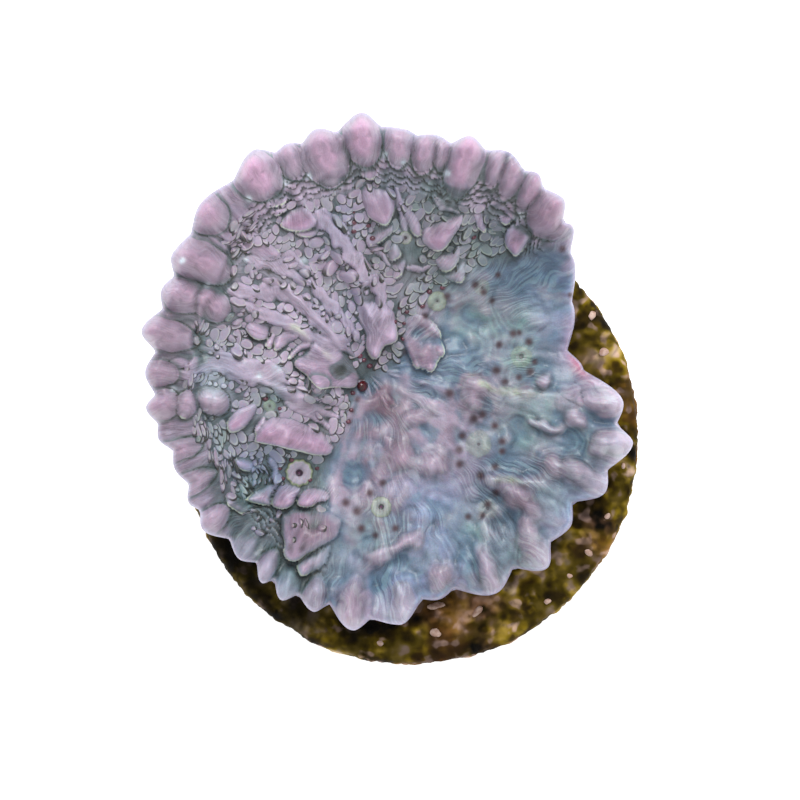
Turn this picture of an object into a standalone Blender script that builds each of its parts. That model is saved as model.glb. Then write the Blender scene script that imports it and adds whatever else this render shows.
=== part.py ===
# A chalice coral frag: one ruffled, tilted coral plate, grown on a round frag disc.
# All the sizes below are millimetres. East is +X, north is +Y, and bearings turn
# anticlockwise from east. The origin is the middle of the disc's flat underside.

import math

import bmesh
import bpy
import numpy as np
from mathutils import Vector, noise

MM = 0.001

# The disc that the coral grew on.
DISC_RADIUS = 16.0
DISC_THICKNESS = 5.0
DISC_CHAMFER = 0.7
DISC_STEPS = 84
CRUST_HEIGHT = 0.45
CRUST_GRAIN = 3.2
CRUST_START = 13.2

# The coral plate: a ruffled dish about its own upright axis.
AXIS = (-0.8, 3.6)
GAP_TO_DISC = 0.3
RIM_THICKNESS = 1.9
PLATE_THICKNESS = 2.7
EDGE_ROUNDING = 1.0
SPHERE_SEGMENTS = 264
SPHERE_RINGS = 84
COLONY_TRIANGLES = 7400

# The foot that meets the disc: an oval, with a flare round it where the plate spreads.
FOOT_MIDDLE = (3.0, 2.6)
FOOT_HALF_SIZE = (8.9, 7.6)
FOOT_FLARE = 0.42

# The rim seen from above, as bearing in degrees and reach from AXIS: tooth tips and
# the notches between them, in turn.
RIM = [
    (5, 13.0), (12, 12.1), (26, 13.5), (38, 15.2), (43, 16.5), (45, 16.2), (49, 17.4),
    (54, 17.1), (57, 17.7), (60, 17.4), (65, 18.0), (70, 17.5), (74, 18.1), (78, 17.3),
    (82, 17.7), (86, 17.5), (89, 17.9), (94, 18.1), (98, 19.2), (104, 18.2), (108, 18.8),
    (112, 18.2), (115, 18.6), (118, 18.4), (122, 19.3), (129, 18.4), (137, 18.8),
    (144, 18.0), (150, 18.3), (154, 17.5), (158, 17.9), (162, 17.4), (168, 18.4),
    (172, 17.2), (177, 17.8), (182, 17.1), (185, 17.8), (189, 17.1), (192, 17.3),
    (196, 16.5), (200, 16.8), (205, 16.3), (209, 16.9), (212, 16.5), (216, 17.1),
    (222, 16.1), (227, 16.6), (231, 16.0), (235, 16.9), (237, 16.2), (241, 17.2),
    (244, 16.3), (249, 17.0), (252, 16.1), (259, 17.5), (263, 16.5), (270, 16.8),
    (276, 15.1), (280, 15.3), (285, 14.8), (295, 16.1), (302, 15.1), (309, 16.5),
    (314, 15.3), (320, 15.6), (326, 14.7), (333, 16.3), (338, 15.8), (346, 16.9),
    (350, 15.5), (355, 15.8),
]

# Heights of the dish above the disc's underside, as east, north, height.
HEIGHTS = [
    (-3.6, 21.8, 18.8), (-12.0, 17.6, 19.2), (-17.9, 8.2, 17.8), (-18.1, 2.6, 15.8),
    (-15.8, -2.3, 13.4), (-13.7, -6.5, 11.4), (-9.9, -10.0, 10.2), (-4.3, -12.7, 9.8),
    (1.3, -11.3, 9.0), (6.2, -10.4, 8.9), (9.7, -7.9, 8.4), (13.2, -3.7, 8.6),
    (14.8, 0.5, 9.4), (13.2, 2.9, 8.6), (11.3, 6.1, 7.3), (11.3, 10.3, 9.0),
    (11.1, 13.8, 12.6), (6.2, 19.7, 17.4),
    (-2.5, 4.3, 8.8), (-0.8, 0.5, 9.2), (-2.2, -4.8, 9.6), (4.8, -0.7, 8.5),
    (7.3, 5.7, 7.9), (3.4, 3.6, 9.4), (4.1, 9.6, 9.5), (-0.8, 13.8, 13.6),
    (-7.8, 9.6, 13.4), (-12.7, 6.1, 14.6), (-5.7, 5.4, 11.4), (-8.1, 0.1, 12.0),
    (-7.2, -6.6, 10.8), (-11.6, -3.0, 9.9), (-10.4, -7.2, 8.6), (-4.6, -2.6, 9.2),
    (-4.8, -10.0, 8.5), (5.5, -5.8, 8.3), (10.4, -0.2, 8.4), (7.6, 14.5, 11.8),
]

# Lumps on the upper side, as east, north, half length, half width, bearing of the
# length, height. The first rows are the knobs round the rim, the others stand inside.
LUMPS = [
    (-3.4, 20.9, 1.9, 1.25, 98, 1.3), (-6.0, 19.7, 2.1, 1.5, 110, 1.2),
    (-8.4, 19.3, 1.4, 0.9, 118, 0.6), (-10.7, 18.2, 1.7, 1.5, 126, 1.4),
    (-14.2, 15.6, 1.4, 1.4, 136, 0.8), (-14.8, 12.3, 2.2, 1.35, 158, 1.4),
    (-15.9, 9.9, 1.4, 1.1, 160, 1.1), (-13.8, 9.4, 1.4, 1.1, 150, 1.0),
    (-17.3, 7.3, 2.0, 1.15, 168, 1.1), (-17.6, 4.5, 1.3, 0.9, 178, 0.6),
    (-17.5, 2.3, 1.4, 1.1, 186, 0.9), (-15.7, 2.3, 1.0, 0.9, 190, 0.7),
    (-13.9, 2.4, 1.1, 1.1, 190, 0.9), (-0.9, 20.5, 1.6, 1.0, 88, 0.9),
    (0.9, 20.1, 1.7, 0.85, 84, 0.8), (2.3, 20.0, 1.4, 0.7, 80, 0.6),
    (3.8, 19.4, 2.4, 1.25, 72, 1.5), (5.9, 19.0, 1.5, 0.8, 66, 0.8),
    (7.9, 17.8, 1.6, 1.0, 60, 0.9), (10.0, 15.7, 1.8, 1.5, 46, 1.5),
    (-16.4, -0.9, 1.5, 0.8, 198, 0.5), (-15.3, -3.2, 1.5, 0.8, 208, 0.5),
    (-14.1, -5.9, 1.5, 0.9, 216, 0.6), (-10.4, -9.4, 1.6, 0.8, 236, 0.7),
    (-6.9, -11.4, 1.5, 0.8, 250, 0.6), (-4.3, -12.2, 2.0, 0.9, 258, 0.9),
    (-0.5, -12.4, 1.6, 1.0, 270, 0.5), (5.4, -9.4, 2.1, 0.7, 290, 0.6),
    (8.9, -8.3, 1.6, 0.8, 312, 0.6), (13.4, 2.6, 1.8, 0.9, 350, 0.9),
    (14.6, -0.4, 1.5, 0.8, 346, 0.9), (12.9, -3.4, 1.6, 0.9, 330, 0.6),
    (-7.7, 15.4, 1.3, 1.1, 170, 1.2), (-2.4, 16.6, 2.0, 1.2, 92, 1.1),
    (-0.4, 16.2, 1.8, 0.6, 100, 0.8), (2.1, 14.4, 1.3, 1.4, 60, 1.4),
    (3.1, 12.3, 1.2, 1.0, 60, 1.1), (7.1, 14.1, 1.3, 1.0, 70, 1.2),
    (-3.1, 7.8, 1.4, 1.4, 130, 1.5), (0.9, 6.3, 1.4, 1.2, 100, 1.4),
    (-5.7, 7.7, 1.0, 0.9, 140, 0.8), (-6.0, 4.6, 1.4, 1.0, 20, 1.1),
    (-11.6, 1.3, 1.3, 0.8, 40, 1.2), (-8.1, 0.3, 3.0, 1.4, 174, 1.9),
    (-10.4, -4.0, 1.4, 0.9, 30, 1.1), (-8.6, -3.9, 1.0, 1.0, 60, 1.0),
    (-6.6, -3.8, 1.1, 0.9, 20, 1.0), (-7.3, -6.3, 1.8, 1.3, 24, 1.6),
    (-6.8, -8.6, 1.3, 0.9, 30, 1.0), (-1.3, -1.9, 1.2, 1.0, 60, 0.7),
    (1.2, -2.4, 1.1, 1.0, 100, 0.7), (-0.6, -7.4, 1.7, 0.8, 20, 0.6),
    (7.6, -4.3, 2.4, 0.9, 320, 0.9), (11.4, 1.2, 0.8, 0.7, 0, 0.8),
    (11.6, -2.4, 0.9, 0.8, 340, 0.8), (9.4, -2.2, 1.2, 0.8, 320, 0.6),
    (8.5, 0.8, 1.4, 0.5, 350, 0.5), (3.0, 4.4, 1.2, 0.8, 330, 0.9),
]

# Ribs of the underside: how many run out to the rim, and how far they stand.
RIB_COUNT = 44
RIB_HEIGHT = 0.18


def thin_plate(distance_squared):
    return distance_squared * np.log(np.maximum(distance_squared, 1e-9))


def fit_dish(posts):
    # A smooth sheet through every post: thin plate bending plus a tilted plane.
    posts = np.array(posts)
    spot, height = posts[:, :2], posts[:, 2]
    apart = ((spot[:, None] - spot[None]) ** 2).sum(2)
    plane = np.column_stack([np.ones(len(spot)), spot])
    system = np.block([[thin_plate(apart), plane], [plane.T, np.zeros((3, 3))]])
    weights = np.linalg.solve(system, np.append(height, np.zeros(3)))
    return spot, weights


def dish_height(dish, place):
    spot, weights = dish
    apart = ((place[:, None] - spot[None]) ** 2).sum(2)
    return thin_plate(apart) @ weights[:-3] + weights[-3] + place @ weights[-2:]


def rim_reach(bearing):
    # The scalloped outline: eased from each tip to the next notch and back.
    stops = np.array(RIM + [(RIM[0][0] + 360, RIM[0][1])], float)
    turn = (bearing - stops[0, 0]) % 360 + stops[0, 0]
    index = np.clip(np.searchsorted(stops[:, 0], turn, "right") - 1, 0, len(stops) - 2)
    start, end = stops[index], stops[index + 1]
    share = (turn - start[:, 0]) / (end[:, 0] - start[:, 0])
    return start[:, 1] + (end[:, 1] - start[:, 1]) * (0.5 - 0.5 * np.cos(share * np.pi))


def smooth_reach(bearing, spread=9):
    # The outline with its teeth averaged away, for the rings inside the rim.
    shifts = np.arange(-spread, spread + 1, 3)
    return np.mean([rim_reach(bearing + shift) for shift in shifts], axis=0)


def lump_lift(place):
    lift = np.zeros(len(place))
    for east, north, along, across, bearing, height in LUMPS:
        offset = place - (east, north)
        cos, sin = math.cos(math.radians(bearing)), math.sin(math.radians(bearing))
        forward = (offset[:, 0] * cos + offset[:, 1] * sin) / along
        sideways = (offset[:, 1] * cos - offset[:, 0] * sin) / across
        lift = np.maximum(lift, height * np.exp(-((forward**2 + sideways**2) ** 1.5)))
    return lift


def foot_share(place):
    # 1 over the foot, 0 beyond its flare.
    away = np.hypot(*((place - FOOT_MIDDLE) / FOOT_HALF_SIZE).T)
    share = np.clip((1 + FOOT_FLARE - away) / FOOT_FLARE, 0, 1)
    return share * share * (3 - 2 * share)


def colony_surface(points):
    # Turns each point of a unit sphere into one of the colony: the upper half of the
    # sphere becomes its upper side, the lower half its underside.
    bearing = np.degrees(np.arctan2(points[:, 1], points[:, 0]))
    colatitude = np.arccos(np.clip(np.abs(points[:, 2]), 0, 1)) / (math.pi / 2)
    out = 1 - (1 - colatitude) ** 1.15
    reach = smooth_reach(bearing)
    reach += (rim_reach(bearing) - reach) * out**5
    ray = np.column_stack([np.cos(np.radians(bearing)), np.sin(np.radians(bearing))])
    place = np.array(AXIS) + ray * (out * reach)[:, None]

    upper = dish_height(DISH, place)
    lift = lump_lift(place)
    from_edge = (1 - out) * reach
    fullness = np.sqrt(1 - np.clip(1 - from_edge / EDGE_ROUNDING, 0, 1) ** 2)
    inward = np.clip(from_edge / 6, 0, 1)
    thickness = RIM_THICKNESS + (PLATE_THICKNESS - RIM_THICKNESS) * inward
    waist = upper + 0.5 * lift * (1 - fullness) - RIM_THICKNESS / 2
    top = waist + (upper + lift - waist) * fullness

    ribs = RIB_HEIGHT * np.cos(np.radians(bearing * RIB_COUNT)) * np.clip(out * 2 - 1, 0, 1)
    under = waist - (waist - upper + thickness + ribs) * fullness
    floor = DISC_THICKNESS + GAP_TO_DISC
    under += (floor - under) * foot_share(place)
    height = np.where(points[:, 2] >= 0, top, np.maximum(under, floor))
    return np.column_stack([place, height])


def material(name, colour, roughness):
    made = bpy.data.materials.new(name)
    made.use_nodes = True
    shader = made.node_tree.nodes["Principled BSDF"]
    shader.inputs["Base Color"].default_value = (*colour, 1)
    shader.inputs["Roughness"].default_value = roughness
    shader.inputs["Metallic"].default_value = 0
    return made


def finish(bm, name, collection, skin):
    mesh = bpy.data.meshes.new(name)
    bm.to_mesh(mesh)
    bm.free()
    mesh.materials.append(skin)
    mesh.shade_smooth()
    made = bpy.data.objects.new(name, mesh)
    collection.objects.link(made)
    return made


def make_colony(collection):
    bm = bmesh.new()
    bmesh.ops.create_uvsphere(
        bm, u_segments=SPHERE_SEGMENTS, v_segments=SPHERE_RINGS, radius=1
    )
    moved = colony_surface(np.array([v.co for v in bm.verts])) * MM
    for vertex, spot in zip(bm.verts, moved):
        vertex.co = spot
    bmesh.ops.triangulate(bm, faces=bm.faces)
    share = COLONY_TRIANGLES / len(bm.faces)
    skin = material("coral_tissue", (0.30, 0.24, 0.31), 0.5)
    colony = finish(bm, "chalice_coral", collection, skin)
    lighten = colony.modifiers.new("lighten", "DECIMATE")
    lighten.ratio = share
    return colony


def crust(place, away):
    # The rough growth on the disc's outer ring and side.
    grain = noise.fractal(place * CRUST_GRAIN / 10, 1.0, 2.0, 3)
    mask = min(max((away - CRUST_START) / 1.2, 0), 1)
    return CRUST_HEIGHT * mask * grain


def make_disc(collection):
    profile = [
        (0, 0), (DISC_RADIUS - DISC_CHAMFER, 0), (DISC_RADIUS, DISC_CHAMFER),
        (DISC_RADIUS, DISC_THICKNESS * 0.5), (DISC_RADIUS, DISC_THICKNESS - DISC_CHAMFER),
        (DISC_RADIUS - DISC_CHAMFER, DISC_THICKNESS), (DISC_RADIUS - 2.0, DISC_THICKNESS),
        (CRUST_START, DISC_THICKNESS), (0, DISC_THICKNESS),
    ]
    bm = bmesh.new()
    corners = [bm.verts.new((out, 0, up)) for out, up in profile]
    edges = [bm.edges.new(pair) for pair in zip(corners, corners[1:])]
    bmesh.ops.spin(
        bm, geom=corners + edges, cent=(0, 0, 0), axis=(0, 0, 1),
        angle=2 * math.pi, steps=DISC_STEPS, use_merge=True,
    )
    bmesh.ops.remove_doubles(bm, verts=bm.verts, dist=0.001)
    for vertex in bm.verts:
        away = math.hypot(vertex.co.x, vertex.co.y)
        if vertex.co.z > DISC_CHAMFER / 2 and away > CRUST_START:
            lift = crust(vertex.co, away)
            sideways = Vector((vertex.co.x, vertex.co.y, 0)) / away
            on_side = vertex.co.z < DISC_THICKNESS - 0.01
            vertex.co += sideways * lift if on_side else Vector((0, 0, lift))
        vertex.co *= MM
    bmesh.ops.recalc_face_normals(bm, faces=bm.faces)
    skin = material("algae_crust", (0.11, 0.08, 0.02), 0.9)
    return finish(bm, "frag_disc", collection, skin)


for old in list(bpy.data.objects):
    bpy.data.objects.remove(old)
parts = bpy.data.collections.new("chalice_coral_frag")
bpy.context.scene.collection.children.link(parts)
DISH = fit_dish(HEIGHTS)
make_disc(parts)
make_colony(parts)
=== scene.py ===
import math

import bpy
import numpy as np
from mathutils import Matrix, Vector, noise
from mathutils.bvhtree import BVHTree


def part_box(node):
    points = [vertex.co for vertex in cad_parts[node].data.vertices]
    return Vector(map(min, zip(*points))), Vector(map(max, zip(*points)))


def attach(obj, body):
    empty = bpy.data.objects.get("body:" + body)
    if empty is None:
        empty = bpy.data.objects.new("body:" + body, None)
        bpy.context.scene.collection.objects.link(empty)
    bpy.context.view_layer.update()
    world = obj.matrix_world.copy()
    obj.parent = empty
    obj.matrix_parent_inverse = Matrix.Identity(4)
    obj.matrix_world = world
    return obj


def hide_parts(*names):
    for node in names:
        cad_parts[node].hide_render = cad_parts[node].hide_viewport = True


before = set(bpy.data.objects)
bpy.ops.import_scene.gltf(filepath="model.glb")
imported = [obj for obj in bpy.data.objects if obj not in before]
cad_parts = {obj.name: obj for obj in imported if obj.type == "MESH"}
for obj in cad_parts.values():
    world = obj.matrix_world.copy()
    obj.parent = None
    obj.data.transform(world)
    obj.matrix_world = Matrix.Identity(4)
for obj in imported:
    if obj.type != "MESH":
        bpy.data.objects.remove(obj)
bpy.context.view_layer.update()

mm = 0.001
discLow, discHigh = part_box("frag_disc")
print("frame loaded, disc", round((discHigh.x - discLow.x) / mm, 1), "mm across")


# shared helpers

def ease(value, start, end):
    # 0 before start, 1 after end, smooth between; start may lie above end
    share = np.clip((value - start) / (end - start), 0, 1)
    return share * share * (3 - 2 * share)


def grain(points, size, seed=0.0):
    # smooth noise from -1 to 1, one lump about every size millimetres
    shifted = np.asarray(points, float) / size + seed
    return np.array([noise.noise(Vector(p)) for p in shifted])


def meshFromArrays(name, points, faces):
    mesh = bpy.data.meshes.new(name)
    mesh.from_pydata((points * mm).tolist(), [], faces.tolist())
    mesh.shade_smooth()
    made = bpy.data.objects.new(name, mesh)
    bpy.context.scene.collection.objects.link(made)
    return made


def storeFloats(piece, name, values):
    made = piece.data.attributes.new(name, "FLOAT", "POINT")
    made.data.foreach_set("value", np.asarray(values, np.float32))


def storeVectors(piece, name, values):
    made = piece.data.attributes.new(name, "FLOAT_VECTOR", "POINT")
    made.data.foreach_set("vector", np.asarray(values, np.float32).ravel())


def zipRings(rings):
    # joins rings of any counts into one closed skin, from a point to a point
    faces = []
    starts = np.cumsum([0] + [len(ring) for ring in rings])
    for index, start in enumerate(starts[:-2]):
        here, there = len(rings[index]), len(rings[index + 1])
        after = starts[index + 1]
        inner, outer = np.arange(here), np.arange(there)
        if here > 1:
            match = -((there * (2 * inner + 1) - here) // (-2 * here))
            faces.append(np.column_stack([
                start + inner, after + match % there, start + (inner + 1) % here
            ]))
        if there > 1:
            match = (here * (2 * outer + 1) - there) // (2 * there) + 1
            faces.append(np.column_stack([
                after + outer, after + (outer + 1) % there, start + match % here
            ]))
    return np.vstack(rings), np.vstack(faces)


# the colony's form

colony = {
    "axis": (-0.8, 3.6),
    "ringReach": 17.2,
    "spacing": 0.108,
    "crispBearing": 135,
    "crowdTurns": 0.33,
    "underSpacing": 0.36,
    "rimThickness": 1.9,
    "plateThickness": 2.7,
    "thinMargin": 6.0,
    "edgeRounding": 1.0,
    "footMiddle": (3.0, 2.6),
    "footHalfSize": (8.9, 7.6),
    "footFlare": 0.42,
    "footLevel": 4.85,
    "ribCount": 88,
    "ribHeight": 0.09,
    "bandWidth": 3.1,
    "bandLift": 0.45,
    "toothLift": 0.35,
    "flowCentre": (-3.2, 4.7),
}

# The rim seen from above, as bearing and reach from the axis: tips and notches in turn.
rimStops = [
    (5, 13.0), (12, 12.1), (26, 13.5), (38, 15.2), (43, 16.5), (45, 16.2), (49, 17.4),
    (54, 17.1), (57, 17.7), (60, 17.4), (65, 18.0), (70, 17.5), (74, 18.1), (78, 17.3),
    (82, 17.7), (86, 17.5), (89, 17.9), (94, 18.1), (98, 19.2), (104, 18.2), (108, 18.8),
    (112, 18.2), (115, 18.6), (118, 18.4), (122, 19.3), (129, 18.4), (137, 18.8),
    (144, 18.0), (150, 18.3), (154, 17.5), (158, 17.9), (162, 17.4), (168, 18.4),
    (172, 17.2), (177, 17.8), (182, 17.1), (185, 17.8), (189, 17.1), (192, 17.3),
    (196, 16.5), (200, 16.8), (205, 16.3), (209, 16.9), (212, 16.5), (216, 17.1),
    (222, 16.1), (227, 16.6), (231, 16.0), (235, 16.9), (237, 16.2), (241, 17.2),
    (244, 16.3), (249, 17.0), (252, 16.1), (259, 17.5), (263, 16.5), (270, 16.8),
    (276, 15.1), (280, 15.3), (285, 14.8), (295, 16.1), (302, 15.1), (309, 16.5),
    (314, 15.3), (320, 15.6), (326, 14.7), (333, 16.3), (338, 15.8), (346, 16.9),
    (350, 15.5), (355, 15.8),
]

# Heights of the dish above the disc's underside, as east, north, height.
dishPosts = [
    (-3.6, 21.8, 18.8), (-12.0, 17.6, 19.2), (-17.9, 8.2, 17.8), (-18.1, 2.6, 15.8),
    (-15.8, -2.3, 13.4), (-13.7, -6.5, 11.4), (-9.9, -10.0, 10.2), (-4.3, -12.7, 9.8),
    (1.3, -11.3, 9.0), (6.2, -10.4, 8.9), (9.7, -7.9, 8.4), (13.2, -3.7, 8.6),
    (14.8, 0.5, 9.4), (13.2, 2.9, 8.6), (11.3, 6.1, 7.3), (11.3, 10.3, 9.0),
    (11.1, 13.8, 12.6), (6.2, 19.7, 17.4),
    (-2.5, 4.3, 8.8), (-0.8, 0.5, 9.2), (-2.2, -4.8, 9.6), (4.8, -0.7, 8.5),
    (7.3, 5.7, 7.9), (3.4, 3.6, 9.4), (4.1, 9.6, 9.5), (-0.8, 13.8, 13.6),
    (-7.8, 9.6, 13.4), (-12.7, 6.1, 14.6), (-5.7, 5.4, 11.4), (-8.1, 0.1, 12.0),
    (-7.2, -6.6, 10.8), (-11.6, -3.0, 9.9), (-10.4, -7.2, 8.6), (-4.6, -2.6, 9.2),
    (-4.8, -10.0, 8.5), (5.5, -5.8, 8.3), (10.4, -0.2, 8.4), (7.6, 14.5, 11.8),
]

# Knobs round the rim: east, north, half length, half width, bearing, height, pinkness.
rimKnobs = [
    (-3.4, 20.9, 1.9, 1.2, 98, 1.3, 0.9), (-6.0, 19.7, 2.1, 1.5, 110, 1.2, 0.7),
    (-8.4, 19.3, 1.4, 0.9, 118, 0.6, 0.5), (-10.7, 18.2, 1.7, 1.5, 126, 1.4, 1.0),
    (-14.2, 15.6, 1.5, 1.3, 136, 0.8, 0.7), (-14.8, 12.3, 2.3, 1.3, 158, 1.4, 0.6),
    (-15.9, 9.9, 1.4, 1.1, 160, 1.1, 0.6), (-13.9, 9.3, 1.3, 1.0, 150, 1.1, 0.6),
    (-17.3, 7.2, 2.2, 1.0, 168, 1.1, 0.5), (-17.6, 4.5, 1.3, 0.8, 178, 0.6, 0.5),
    (-17.5, 2.3, 1.4, 1.0, 186, 0.9, 0.6), (-15.7, 2.3, 0.9, 0.7, 250, 0.7, 0.5),
    (-13.9, 2.5, 1.1, 0.9, 160, 1.0, 0.7), (-0.9, 20.5, 1.6, 0.9, 88, 0.9, 0.6),
    (0.9, 20.1, 1.7, 0.8, 84, 0.8, 0.6), (2.3, 20.0, 1.4, 0.7, 80, 0.6, 0.5),
    (3.8, 19.4, 2.5, 1.2, 72, 1.5, 0.9), (5.9, 19.0, 1.6, 0.6, 76, 0.8, 0.5),
    (7.1, 18.3, 1.7, 0.7, 68, 0.8, 0.6), (8.6, 17.4, 1.8, 0.8, 58, 0.8, 0.7),
    (10.0, 15.7, 1.9, 1.5, 46, 1.5, 0.7),
    (-16.4, -0.9, 1.6, 0.7, 198, 0.45, 0.5), (-15.3, -3.2, 1.6, 0.7, 208, 0.45, 0.4),
    (-14.1, -5.9, 1.5, 0.8, 216, 0.5, 0.5), (-10.4, -9.4, 1.6, 0.7, 236, 0.5, 0.5),
    (-6.9, -11.2, 1.5, 0.7, 250, 0.5, 0.5), (-4.3, -12.0, 2.2, 0.8, 258, 0.8, 0.9),
    (-0.5, -12.2, 1.7, 0.9, 270, 0.5, 0.6), (5.4, -9.4, 2.3, 0.6, 290, 0.6, 0.7),
    (8.9, -8.3, 1.7, 0.8, 312, 0.6, 0.6), (13.6, 2.4, 1.9, 0.8, 350, 0.9, 0.6),
    (14.6, -0.4, 1.5, 0.8, 346, 0.8, 0.5), (12.9, -3.4, 1.6, 0.8, 330, 0.6, 0.5),
]

# Soft swellings of the middle and the right side: east, north, half length, half width,
# bearing, height, pinkness.
swells = [
    (-1.9, 2.5, 1.0, 0.8, 60, 0.4, 0.6), (0.3, 1.3, 1.1, 0.6, 20, 0.4, 0.7),
    (-0.7, -1.4, 1.1, 1.0, 60, 0.6, 0.8), (1.5, -1.8, 1.4, 0.9, 10, 0.5, 0.7),
    (4.5, 3.2, 0.8, 1.1, 0, 0.6, 0.8), (-0.4, -7.4, 1.3, 0.6, 25, 0.5, 0.7),
    (-2.4, -8.5, 1.2, 0.6, 30, 0.55, 0.6), (7.6, -4.3, 1.9, 0.8, 320, 0.7, 0.7),
    (8.2, -6.4, 1.0, 0.6, 300, 0.5, 0.6), (11.6, 1.3, 0.8, 0.7, 0, 0.7, 0.4),
    (11.8, -2.3, 0.8, 0.7, 340, 0.7, 0.4), (10.2, -2.0, 1.1, 0.7, 320, 0.6, 0.4),
    (9.3, 0.8, 1.1, 0.35, 350, 0.5, 0.2), (9.4, 3.9, 0.5, 0.5, 0, 0.7, 0.6),
    (2.0, -9.7, 1.1, 0.8, 250, 0.4, 0.7), (13.1, -0.8, 0.6, 0.8, 0, 0.5, 0.5),
    (-6.4, 3.9, 0.8, 0.7, 30, 1.55, 0.3),
]

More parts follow.
